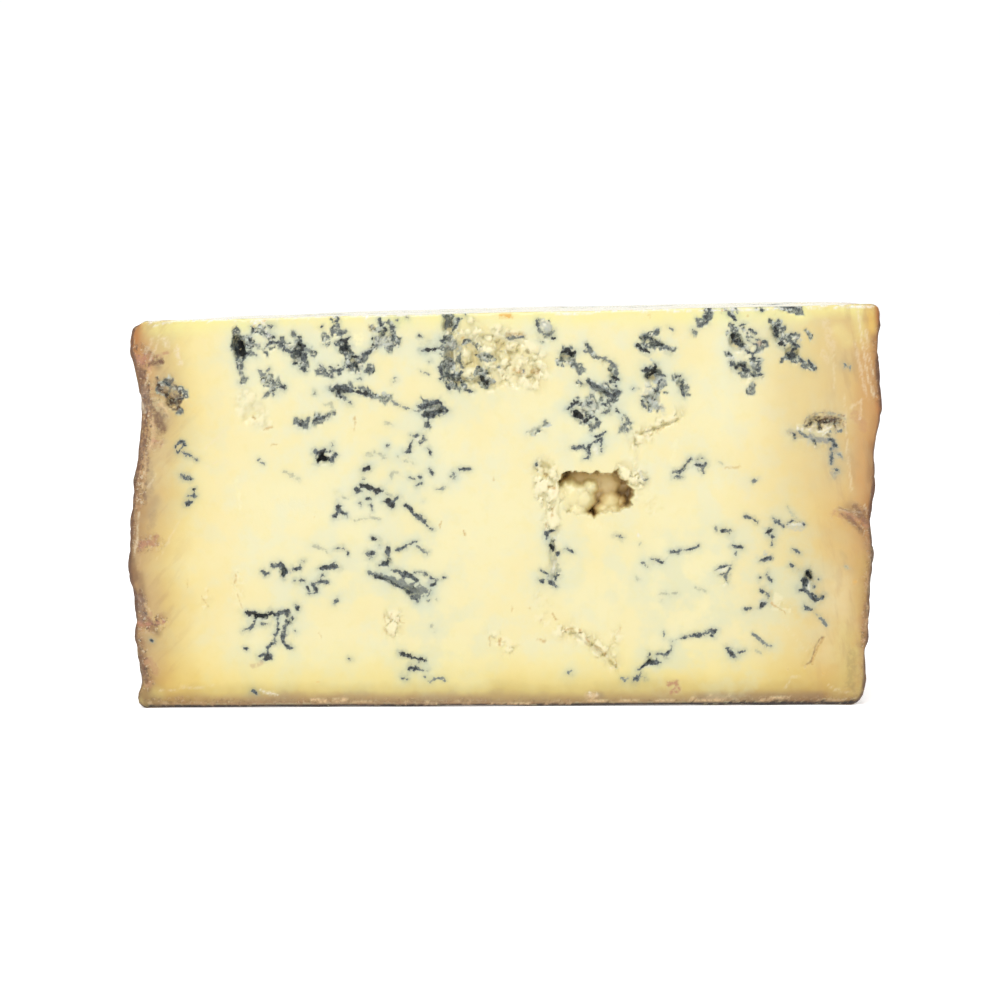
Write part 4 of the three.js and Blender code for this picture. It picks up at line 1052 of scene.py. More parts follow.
def base_points(solid, front, rind, top, foot, count):
    """Places of all the grid points, on the solid's edges and near its surfaces."""
    points = np.zeros((count, 3))
    across = np.linspace(0, 1, COLUMNS + 1)
    up = np.linspace(0, 1, ROWS + 1)
    spread = np.clip(-FACE_HALF + 2 * FACE_HALF * across, -RIM_INSIDE, RIM_INSIDE)
    behind = np.full(COLUMNS + 1, FACE_Y + CREST_BEHIND)
    crest = filled(top_height(solid, np.column_stack([spread, behind])))
    heights = up[:, None] * crest[None, :]
    levels = np.linspace(JUST_INSIDE, crest.min() - JUST_INSIDE, SIDE_LEVELS)
    left = filled(edge_reach(solid, levels, -1))
    right = filled(edge_reach(solid, levels, 1))
    left_x = np.interp(heights, levels, left)
    right_x = np.interp(heights, levels, right)
    front_x = left_x + (right_x - left_x) * across[None, :]
    points[front] = np.stack([front_x, np.full_like(front_x, FACE_Y), heights], axis=-1)

    angles = math.pi * (1 - across[1:-1])
    rim = np.column_stack([RIM_INSIDE * np.cos(angles), FACE_Y + RIM_INSIDE * np.sin(angles)])
    rim_height = filled(top_height(solid, rim))
    rind_z = up[:, None] * rim_height[None, :]
    flat_angle = np.broadcast_to(angles, rind_z.shape).ravel()
    safe_z = np.clip(rind_z, JUST_INSIDE, rim_height[None, :] - 2 * JUST_INSIDE).ravel()
    reach = rind_reach(solid, flat_angle, safe_z).reshape(rind_z.shape)
    reach = soften_rind(np.apply_along_axis(filled, 0, reach))
    points[rind[:, 1:-1]] = np.stack([
        reach * np.cos(angles), FACE_Y + reach * np.sin(angles), rind_z,
    ], axis=-1)

    for cap, rows in ((top, TOP_ROWS), (foot, FOOT_ROWS)):
        share = np.linspace(0, 1, rows + 1)[:, None, None]
        points[cap] = points[cap[0]][None] * (1 - share) + points[cap[-1]][None] * share
    return points


def soften_rind(reach, rounds=5):
    """Evens out the solid's flat facets on the rind without moving its edges."""
    for _ in range(rounds):
        inner = reach.copy()
        inner[1:-1] = (reach[:-2] + 2 * reach[1:-1] + reach[2:]) / 4
        reach = inner.copy()
        reach[:, 1:-1] = (inner[:, :-2] + 2 * inner[:, 1:-1] + inner[:, 2:]) / 4
    return reach


def build_mesh(points, grids):
    """A bmesh of the grids, each face with the number of its surface."""
    mesh = bmesh.new()
    corners = [mesh.verts.new(point) for point in points.tolist()]
    surface = mesh.faces.layers.int.new("surface")
    for kind, grid, outward in grids:
        for face in grid_faces(grid, outward):
            made = mesh.faces.new([corners[i] for i in face])
            made[surface] = kind
            made.smooth = True
    return mesh


def refine(mesh, wanted):
    """Halves the front faces whose middles are wanted."""
    surface = mesh.faces.layers.int["surface"]
    front = [face for face in mesh.faces if face[surface] == FRONT]
    middles = np.array([face.calc_center_median() for face in front])
    chosen = wanted(middles[:, [0, 2]])
    edges = {edge for face, take in zip(front, chosen) if take for edge in face.edges}
    ordered = sorted(edges, key=lambda edge: edge.index)
    bmesh.ops.subdivide_edges(mesh, edges=ordered, cuts=1, use_grid_fill=True)
    mesh.verts.index_update()
    mesh.edges.index_update()


# ---------------------------------------------------------------- fields on the face
def near_stroke(places, corners, reach):
    """Which places lie within reach of a stroke's box, how far from it, and how far along it they are."""
    boxed = (places > corners.min(0) - reach) & (places < corners.max(0) + reach)
    picked = np.flatnonzero(np.all(boxed, axis=1))
    distance, along = stroke_distance(places[picked], corners)
    return picked, distance, along


def vein_fields(places, strokes, wobble):
    """How deep each place lies in a vein, in mm, its tone, and its near and its far tint."""
    depth = np.full(len(places), NO_VEIN)
    tone = np.zeros(len(places))
    clear = np.ones(len(places))
    fresh = np.ones(len(places))
    for half, strength, corners in strokes:
        picked, distance, along = near_stroke(places, corners, half + 8)
        taper = 0.6 + 0.4 * np.sqrt(np.clip(np.sin(math.pi * along), 0, 1))
        inside = half * taper * (1 + 0.7 * wobble[picked]) + 0.1 + 0.16 * wobble[picked] - distance
        better = inside > depth[picked]
        tone[picked] = np.where(better, strength, tone[picked])
        depth[picked] = np.maximum(depth[picked], inside)
        spread = 1.1 + 1.0 * half
        weight = strength * (0.3 + 0.34 * min(1, half)) * np.exp(-(distance / spread) ** 2)
        clear[picked] *= 1 - np.clip(weight, 0, 0.9)
        fresh[picked] *= 1 - (0.18 + 0.32 * min(1, half)) * np.exp(-(distance / (3.2 + half)) ** 2)
    return depth, tone, 1 - clear, 1 - fresh


def soft_field(places, strokes, edge):
    """0 to 1: how much the strokes cover each place, fading over the edge in mm."""
    clear = np.ones(len(places))
    for half, strength, corners in strokes:
        picked, distance, _ = near_stroke(places, corners, half + edge)
        clear[picked] *= 1 - strength * (1 - smooth_step(half - edge, half + edge, distance))
    return 1 - clear


def mould_fields(places, strokes):
    """How thick the mould's crumbs lie at each place, 0 to 1, and their tone."""
    cover = np.zeros(len(places))
    tone = np.zeros(len(places))
    for half, strength, corners in strokes:
        picked, distance, _ = near_stroke(places, corners, half + 1.5)
        here = 1 - smooth_step(0.45 * half, half + 0.7, distance)
        tone[picked] = np.where(here > cover[picked], strength, tone[picked])
        cover[picked] = np.maximum(cover[picked], here)
    return cover, tone


def unpainted(count):
    """The paste's colour for each place, with no cover yet."""
    colour = np.tile(own(CREAM), (count, 1))
    colour[:, 3] = 0
    return colour


def mark_fields(places, marks, wobble):
    """Colour and cover of the marks that aren't veins, painted highlights, sheen, shadow and shade among
    them, and how deep they lie.
    """
    colour = unpainted(len(places))
    relief = np.zeros(len(places))
    for name, strokes in marks.items():
        shade, depth = MARK_COLOURS[name]
        for half, strength, corners in strokes:
            picked, distance, _ = near_stroke(places, corners, 2 * half + 2)
            fringe = 0.12 + 0.3 * half
            inside = half * (1 + 0.6 * wobble[picked]) - distance
            cover = strength * smooth_step(-fringe, fringe, inside)
            paint(colour, picked, own(shade), cover)
            relief[picked] += depth * cover
    return colour, relief


def tint_and_light_fields(places, tints_and_light):
    """Colour and cover of the broad soft tints, with painted light along the top edge and painted
    shadow under the foot among them.
    """
    colour = unpainted(len(places))
    for shade, strokes in tints_and_light.items():
        for half, strength, corners in strokes:
            picked, distance, _ = near_stroke(places, corners, 2.2 * half)
            cover = strength * (1 - smooth_step(0.1 * half, 1.7 * half, distance))
            paint(colour, picked, own(shade), cover)
    return colour


def paint(colour, picked, shade, cover):
    """Lays a colour over what is there: the mix stays true where covers overlap."""
    under = colour[picked, 3]
    total = under + (1 - under) * cover
    share = np.where(total > 0, cover / np.maximum(total, 1e-6), 0)
    colour[picked, :3] += (np.array(shade[:3]) - colour[picked, :3]) * share[:, None]
    colour[picked, 3] = total


def nearest_mark(places, strokes):
    """Distance in mm from each place to the edge of the nearest stroke, below 0 inside one."""
    nearest = np.full(len(places), NO_MARK)
    for half, _, corners in strokes:
        picked, distance, _ = near_stroke(places, corners, half + MARK_SEARCH)
        nearest[picked] = np.minimum(nearest[picked], distance - half)
    return nearest


# ---------------------------------------------------------------- veins of the level cut
TOP_VEIN_SEED = 11
TOP_VEIN_COUNT = 170
TOP_VEIN_REACH = 84
# Veins in a cluster, fewer than the second number, how far they stray from its middle, and their
# lengths and half widths, in mm
TOP_VEIN_CLUSTER = (3, 8)
TOP_VEIN_SPREAD = 4.5
TOP_VEIN_LENGTHS = (1.5, 7)
TOP_VEIN_HALVES = (0.15, 0.75)
# Veins that run in from the upright cut: where they start along it, their lengths and half widths
EDGE_VEINS = [-70, -30, -11, -8, 54, 55, 61, 67, 74]
EDGE_VEIN_LENGTHS = (4, 9)
EDGE_VEIN_HALVES = (0.25, 0.6)


def crooked_line(random, start, length, heading):
    """The corners of a line that wanders from a start."""
    corners = [np.array(start, float)]
    for _ in range(random.integers(2, 5)):
        heading += random.normal(0, 0.6)
        step = length * random.uniform(0.2, 0.5)
        corners.append(corners[-1] + step * np.array([math.cos(heading), math.sin(heading)]))
    return np.array(corners)


def top_veins():
    """Clusters of veins across the level cut, and some that run in from the edge of the upright face."""
    random = np.random.default_rng(TOP_VEIN_SEED)
    strokes = []
    tones = (BLACK, DARK, DARK, GREY, FAINT)
    for x in EDGE_VEINS:
        line = crooked_line(random, (x, FACE_Y), random.uniform(*EDGE_VEIN_LENGTHS), math.pi / 2)
        strokes.append((random.uniform(*EDGE_VEIN_HALVES), DARK, line))
    while len(strokes) < TOP_VEIN_COUNT:
        across = random.uniform(-TOP_VEIN_REACH, TOP_VEIN_REACH)
        centre = np.array([across, FACE_Y + random.uniform(4, TOP_VEIN_REACH)])
        if math.hypot(centre[0], centre[1] - FACE_Y) > TOP_VEIN_REACH:
            continue
        for _ in range(random.integers(*TOP_VEIN_CLUSTER)):
            start = centre + random.normal(0, TOP_VEIN_SPREAD, 2)
            length = random.uniform(*TOP_VEIN_LENGTHS)
            line = crooked_line(random, start, length, random.uniform(0, 2 * math.pi))
            half = random.uniform(*TOP_VEIN_HALVES)
            strokes.append((half, tones[random.integers(len(tones))], line))
    return strokes


# ---------------------------------------------------------------- putting the skin together
def vertex_kinds(mesh):
    """For each point, which of the four surfaces it touches, as a table of yes and no."""
    surface = mesh.faces.layers.int["surface"]
    touches = np.zeros((len(mesh.verts), 4), bool)
    for face in mesh.faces:
        for vertex in face.verts:
            touches[vertex.index, face[surface]] = True
    return touches


def relaxed(values, edges, free, rounds, strength=0.5):
    """Values moved towards their neighbours' mean, where free."""
    count = np.bincount(edges.ravel(), minlength=len(values))
    for _ in range(rounds):
        total = np.bincount(edges[:, 0], values[edges[:, 1]], len(values))
        total += np.bincount(edges[:, 1], values[edges[:, 0]], len(values))
        values = np.where(free, values + strength * (total / np.maximum(count, 1) - values), values)
    return values


def single_curds(camera):
    """The curds placed one by one, as rows of [x, z, radius, lift, rank] in millimetres."""
    rows = np.array(CURDS, float)
    return np.column_stack([on_face(rows[:, :2], camera), rows[:, 2] * pixel_size(), rows[:, 3:]])


def level_plain_paste(points, front, opened):
    """Closes what the solid's coarse pockets open beyond the strokes that break the paste."""
    depth = points[front, 1] - FACE_Y
    broken = soft_field(points[front][:, [0, 2]], opened, 0.7)
    beyond = np.maximum(depth - 0.3, 0)
    points[front, 1] -= beyond * (1 - smooth_step(0.2, 0.7, broken))


def inside_outline(places, corners):
    """How far each place lies inside a closed outline, in mm, below 0 outside it."""
    distance, _ = stroke_distance(places, np.vstack([corners, corners[:1]]))
    inside = np.zeros(len(places), bool)
    for (x, z), (next_x, next_z) in zip(corners, np.roll(corners, -1, axis=0)):
        crossed = (z > places[:, 1]) != (next_z > places[:, 1])
        share = (places[:, 1] - z) / (next_z - z if next_z != z else 1)
        inside ^= crossed & (places[:, 0] < x + share * (next_x - x))
    return np.where(inside, distance, -distance)


def shape_hollow(points, front, camera):
    """Gives the hollow its ragged edge and steep wall, and the lumps of paste that stand in it."""
    places = points[front][:, [0, 2]]
    spots = on_plane(places)
    depth = points[front, 1] - FACE_Y
    outline = on_face(np.reshape(HOLLOW_OUTLINE, (-1, 2)), camera)
    inside = inside_outline(places, outline) + 0.4 * noise(spots, 1.5, 121) + 0.35 * noise(spots, 0.7, 122)
    bowl = HOLLOW_DEPTH * np.sqrt(np.clip(inside / HOLLOW_WALL, 0, 1))
    rows = np.array(HOLLOW_LUMPS, float)
    moved = warped(places, 0.35, 1.8, 120)
    for centre, radius, crown in zip(on_face(rows[:, :2], camera), rows[:, 2] * pixel_size(), rows[:, 3]):
        away = np.hypot(*(moved - centre).T) / radius
        dome = crown + (HOLLOW_DEPTH - crown) * (1 - np.sqrt(np.clip(1 - away ** 2, 0, 1)))
        bowl = np.minimum(bowl, dome)
    share = smooth_step(-4, -2.5, inside)
    points[front, 1] = FACE_Y + depth + share * (bowl - depth)


def drawn_marks(camera):
    """All that is drawn on the cut face, as strokes and lumps in millimetres on it."""
    crumbly = strokes_on_face(CRUMBLY, camera)
    mould = strokes_on_face([row for row in MOULD if row[3] < SOFT_BELOW], camera)
    return {
        "veins": strokes_on_face(VEINS, camera),
        "marks": {name: strokes_on_face(rows, camera) for name, rows in MARKS.items()},
        "tints_and_light": {colour: strokes_on_face(rows, camera) for colour, rows in TINTS_AND_PAINTED_LIGHT.items()},
        "clouds": strokes_on_face(CLOUDS, camera),
        "dirt": strokes_on_face(DIRT, camera),
        "hollows": strokes_on_face(HOLLOWS, camera),
        "crumbly": crumbly,
        "mould": mould,
        "smudges": strokes_on_face([row for row in MOULD if row[3] >= SOFT_BELOW], camera),
        "lumps": np.vstack([
            single_curds(camera), scatter(crumbly, *CRUMB_SIZES, 1), scatter(mould, *MOULD_SIZES, 2),
        ]),
    }


def refined_grids(solid, drawn):
    """The four grids as one bmesh, finer where the cut face is marked."""
    front, rind, top, foot, count = shared_grids()
    points = base_points(solid, front, rind, top, foot, count)
    grids = ((FRONT, front, True), (RIND, rind, False), (TOP, top, True), (FOOT, foot, False))
    mesh = build_mesh(points, grids)
    mesh.verts.index_update()
    mesh.edges.index_update()
    broken = drawn["crumbly"] + drawn["hollows"]
    fine = drawn["veins"] + drawn["mould"] + drawn["smudges"]
    every_mark = list(fine)
    for name, strokes in drawn["marks"].items():
        every_mark += strokes
        fine += [] if name in SOFT_MARKS else strokes

    def worth_halving(places):
        near = nearest_mark(places, every_mark) < HALVE_NEAR
        crumbling = soft_field(places, broken, 1.5) > HALVE_CRUMBLY
        strip = (np.abs(places[:, 0]) > SIDE_STRIP) | (places[:, 1] < FOOT_STRIP)
        soiled = soft_field(places, drawn["dirt"], 0.5) > HALVE_DIRTY
        return near | crumbling | strip | soiled

    def worth_quartering(places):
        near = nearest_mark(places, fine) < QUARTER_NEAR
        crumbling = soft_field(places, broken, 1.5) > QUARTER_CRUMBLY
        return near | crumbling

    refine(mesh, worth_halving)
    refine(mesh, worth_quartering)
    bmesh.ops.triangulate(mesh, faces=[face for face in mesh.faces if len(face.verts) > 4])
    mesh.verts.index_update()
    return mesh


def fitted_points(mesh, touches, solid, drawn, camera):
    """The points of the mesh, moved onto the solid's two cuts and into the hollow."""
    points = np.array([vertex.co for vertex in mesh.verts])
    edges = np.array([[vertex.index for vertex in edge.verts] for edge in mesh.edges])
    only = touches.sum(axis=1) == 1
    front = touches[:, FRONT] & only
    top = touches[:, TOP] & only

    points[front, 1] = np.nan_to_num(face_depth(solid, points[front][:, [0, 2]]), nan=FACE_Y)
    level_plain_paste(points, front, drawn["veins"] + drawn["mould"] + drawn["crumbly"] + drawn["hollows"])
    points[:, 1] = relaxed(points[:, 1], edges, front, 1)
    shape_hollow(points, front, camera)
    top_z = top_height(solid, points[top][:, :2])
    points[top, 2] = np.where(np.isnan(top_z), points[top, 2], top_z)
    points[:, 2] = relaxed(points[:, 2], edges, top, 2)
    return points


def make_skin(solid, camera):
    """The dressed cheese: a mesh object with all its fields."""
    drawn = drawn_marks(camera)
    mesh = refined_grids(solid, drawn)
    touches = vertex_kinds(mesh)
    points = fitted_points(mesh, touches, solid, drawn, camera)
    fields = surface_fields(points, touches, drawn)
    points = points + relief(points, touches, fields)
    points[:, 2] = np.maximum(points[:, 2], 0)

    for vertex, point in zip(mesh.verts, points.tolist()):
        vertex.co = Vector(point) * MM
    data = bpy.data.meshes.new("stilton")
    mesh.to_mesh(data)
    mesh.free()
    for name, values in fields.items():
        kind, part = ("FLOAT_COLOR", "color") if values.ndim == 2 else ("FLOAT", "value")
        attribute = data.attributes.new(name, kind, "POINT")
        attribute.data.foreach_set(part, values.astype(np.float32).ravel())
    made = bpy.data.objects.new("stilton_half_round", data)
    bpy.context.scene.collection.objects.link(made)
    return made


def surface_fields(points, touches, drawn):
    """All that the materials read from each point."""
    count = len(points)
    names = ("halo", "pale", "cloud", "tone", "crumb", "mould", "mould_tone", "rank", "side", "sunk", "dirt",
             "lid", "from_left", "from_foot", "mark_relief")
    fields = {name: np.zeros(count) for name in names}
    fields["vein"] = np.full(count, NO_VEIN)
    fields["lump"] = np.full(count, BARE_GROUND)
    fields["from_right"] = np.full(count, FAR_FROM_EDGE)
    # Colours of the marks and of the broad tints, painted highlights, light, shadow and shade among them
    fields["stain_and_painted_light"] = np.zeros((count, 4))
    fields["shade"] = np.zeros((count, 4))
    wobble = noise(points, 1.3, 3) + 0.6 * noise(points, 0.6, 4)
    face = np.flatnonzero(touches[:, FRONT])
    lid = np.flatnonzero(touches[:, TOP] & ~touches[:, FRONT])
    add_paste_fields(fields, face, points[face], drawn, wobble[face])
    add_edge_fields(fields, face, points, touches)
    add_lid_fields(fields, lid, points[lid], wobble[lid])
    return fields


def add_paste_fields(fields, face, points, drawn, wobble):
    """Veins, mould, crumbs, stains and depth at the points of the upright cut."""
    places = points[:, [0, 2]]
    spots = on_plane(places)
    crooked = warped(warped(places, 0.3, 2.4, 70), 0.2, 0.8, 74)
    vein, tone, halo, pale = vein_fields(crooked, drawn["veins"], wobble)
    moved = warped(places, 0.9, 3.4, 80)
    mould, mould_tone = mould_fields(warped(moved, 0.4, 1.3, 88), drawn["mould"])
    ragged = 0.75 * mould + 0.5 * noise(spots, 2.2, 5) + 0.5 * noise(spots, 1.0, 6)
    mould = np.where(mould > 0, smooth_step(0.3, 0.72, ragged), 0)
    smudge = soft_field(moved, drawn["smudges"], 0.9)
    fleck = 0.75 * noise(spots, 1.4, 7) + 0.5 * noise(spots, 0.7, 8) - 0.25 - 4 * (1 - smudge)
    fields["vein"][face] = np.maximum(vein, fleck)
    fields["tone"][face] = np.where(fleck > vein, 0.6, tone)
    fields["halo"][face] = np.maximum(halo, 0.5 * np.maximum(mould, smudge))
    fields["pale"][face] = pale
    fields["mould"][face] = mould
    fields["mould_tone"][face] = mould_tone
    fields["cloud"][face] = soft_field(places, drawn["clouds"], 7)
    crumb = soft_field(moved, drawn["crumbly"], 1.6)
    torn = 0.3 * noise(spots, 2.6, 9) + 0.3 * noise(spots, 1.0, 10)
    fields["crumb"][face] = crumb * smooth_step(0.25, 0.6, crumb + torn)
    fields["dirt"][face] = soft_field(warped(places, 0.6, 2.8, 84), drawn["dirt"], 1.2)
    lump, rank, side = lump_fields(warped(places, 0.4, 1.1, 60), drawn["lumps"])
    fields["lump"][face] = lump
    fields["rank"][face] = rank
    fields["side"][face] = side
    bent = warped(places, 0.25, 1.4, 90)
    fields["stain_and_painted_light"][face], fields["mark_relief"][face] = mark_fields(bent, drawn["marks"], wobble)
    fields["shade"][face] = tint_and_light_fields(places, drawn["tints_and_light"])
    fields["sunk"][face] = np.clip(points[:, 1] - FACE_Y, 0, MOST_SUNK)


def add_edge_fields(fields, face, points, touches):
    """How far the points of the upright cut lie from its left, its right and its lower edge."""
    places = points[face][:, [0, 2]]
    levels = np.linspace(0, FACE_TOP, FACE_TOP + 1)
    outline = rim_tables(points, touches, levels)
    left = np.interp(places[:, 1], levels, outline[0])
    right = np.interp(places[:, 1], levels, outline[1])
    fields["from_left"][face] = np.clip(places[:, 0] - left, 0, FAR_FROM_EDGE)
    fields["from_right"][face] = np.clip(right - places[:, 0], 0, FAR_FROM_EDGE)
    heights = np.clip(points[:, 2], 0, FAR_FROM_EDGE)
    fields["from_foot"] = np.where(touches[:, FRONT], heights, FAR_FROM_EDGE)


def add_lid_fields(fields, lid, points, wobble):
    """Veins, gloss and the browned band at the points of the level cut."""
    plan = points[:, :2]
    vein, tone, halo, _ = vein_fields(plan, top_veins(), wobble)
    fields["vein"][lid] = vein
    fields["tone"][lid] = tone
    fields["halo"][lid] = halo
    radius = np.hypot(plan[:, 0], plan[:, 1] - FACE_Y)
    from_rim = np.clip(LID_SQUEEZE * (LID_RADIUS - radius), 0, FAR_FROM_EDGE)
    fields["lid"][lid] = smooth_step(*LID_GLOSS_RISE, from_rim)
    fields["from_left"][lid] = from_rim
    fields["from_right"][lid] = from_rim


def rim_tables(points, touches, levels):
    """x of the face's left and right edge at each of the levels."""
    edge = touches[:, FRONT] & touches[:, RIND]
    sides = []
    for side in (-1, 1):
        picked = points[edge & (np.sign(points[:, 0]) == side)]
        picked = picked[np.argsort(picked[:, 2])]
        sides.append(np.interp(levels, picked[:, 2], picked[:, 0]))
    return sides


def relief(points, touches, fields):
    """How far each point moves for what is finer than the solid."""
    shift = np.zeros_like(points)
    on_front = touches[:, FRONT]
    on_rind = touches[:, RIND]
    on_top = touches[:, TOP]
    on_foot = touches[:, FOOT]

    pit = smooth_step(-0.1, 0.5, fields["vein"]) * smooth_step(0.3, 1, fields["tone"])
    loose = np.maximum(0.9 * fields["mould"], 0.75 * fields["crumb"])
    crumbs = loose * (0.25 - fields["lump"])
    rough = 0.05 * noise(points, 1.1, 20) + 0.3 * fields["dirt"] * layered_noise(points, 1.8, 23, 2)
    inward = VEIN_PIT * pit * (1 - fields["mould"]) + MARK_DEPTH * fields["mark_relief"] + crumbs + rough
    rounding = edge_rounding(np.minimum(fields["from_left"], fields["from_right"]), *SIDE_ROUND)
    foot_rounding = edge_rounding(fields["from_foot"], *HEEL_ROUND)
    shift[:, 1] += np.where(on_front, inward + rounding + foot_rounding, 0)
    lid = on_top & ~on_front
    shift[:, 2] -= np.where(lid, inward + edge_rounding(fields["from_left"], *LID_ROUND), 0)

    angle = np.arctan2(points[:, 1] - FACE_Y, points[:, 0])
    outward = np.column_stack([np.cos(angle), np.sin(angle), 0 * angle])
    creases = ridges(points, 9, 31) ** 3 + 0.5 * ridges(points, 5, 33) ** 4
    crust = 0.6 * layered_noise(points, 14, 30, 3) - 0.8 * creases + 0.5 * layered_noise(points, 3.4, 35, 2)
    back_from_face = np.clip((points[:, 1] - FACE_Y) / 12, 0.5, 1)
    shift += np.where(on_rind, (crust + 0.3) * back_from_face, 0)[:, None] * outward
    fields["crust"] = np.where(on_rind | on_foot, crust, 0)

    inner_foot = on_foot & ~on_front & ~on_rind
    lift = smooth_step(-0.2, 0.9, layered_noise(points, 11, 40, 3)) * FOOT_LIFT
    shift[:, 2] += np.where(inner_foot, lift, 0)
    hem = on_foot & (on_front | on_rind)
    shift[:, 2] += np.where(hem, 0.2 + 0.15 * noise(points, 7, 44), 0)
    return shift + rim_rounding(points, touches)


def rim_rounding(points, touches):
    """How far each point near the rim of the level cut moves onto its round."""
    rim = np.flatnonzero(touches[:, TOP] & touches[:, RIND])
    angle = np.arctan2(np.maximum(points[:, 1] - FACE_Y, 0), points[:, 0])
    radius = np.hypot(points[:, 0], points[:, 1] - FACE_Y)
    rim = rim[np.argsort(angle[rim])]
    out = np.minimum(radius - np.interp(angle, angle[rim], radius[rim]), 0) + RIM_ROUND
    up = points[:, 2] - np.interp(angle, angle[rim], points[rim, 2]) + RIM_ROUND
    reach = np.hypot(out, up)
    pull = np.where((out > 0) & (up > 0) & (reach > RIM_ROUND), 1 - RIM_ROUND / np.maximum(reach, 1e-9), 0)
    return -pull[:, None] * np.column_stack([out * np.cos(angle), out * np.sin(angle), up])


def edge_rounding(distance, width, depth):
    """How far a surface falls back where it nears an edge."""
    return depth * (1 - np.clip(distance / width, 0, 1)) ** 2


# ---------------------------------------------------------------- the map for baking
# Millimetres that the cut face's field spans, the rind's width and its height for each mm, and the
# scale of the level cut and the foot
MAP_REACH = 202
MAP_RIND = (0.84, 0.0026)
MAP_ENDS = 0.00165


def add_bake_map(made):
    """Gives each surface its own field of one map, the cut face the largest."""
    data = made.data
    layer = data.uv_layers.new(name="OFBake")
    surface = data.attributes["surface"].data
    points = np.array([vertex.co for vertex in data.vertices]) / MM
    angle = np.arctan2(points[:, 1] - FACE_Y, points[:, 0])
    maps = {
        FRONT: np.column_stack([(points[:, 0] + MAP_REACH / 2) / MAP_REACH, (points[:, 2] + 1) / MAP_REACH]),
        RIND: np.column_stack([1 - angle / math.pi, points[:, 2]]) * MAP_RIND + (0.005, 0.545),
        TOP: np.column_stack([points[:, 0], points[:, 1] - FACE_Y]) * MAP_ENDS + (0.17, 0.83),
        FOOT: np.column_stack([points[:, 0], points[:, 1] - FACE_Y]) * MAP_ENDS + (0.51, 0.83),
    }
    for face in data.polygons:
        field = maps[surface[face.index].value]
        for corner in face.loop_indices:
            layer.data[corner].uv = field[data.loops[corner].vertex_index]


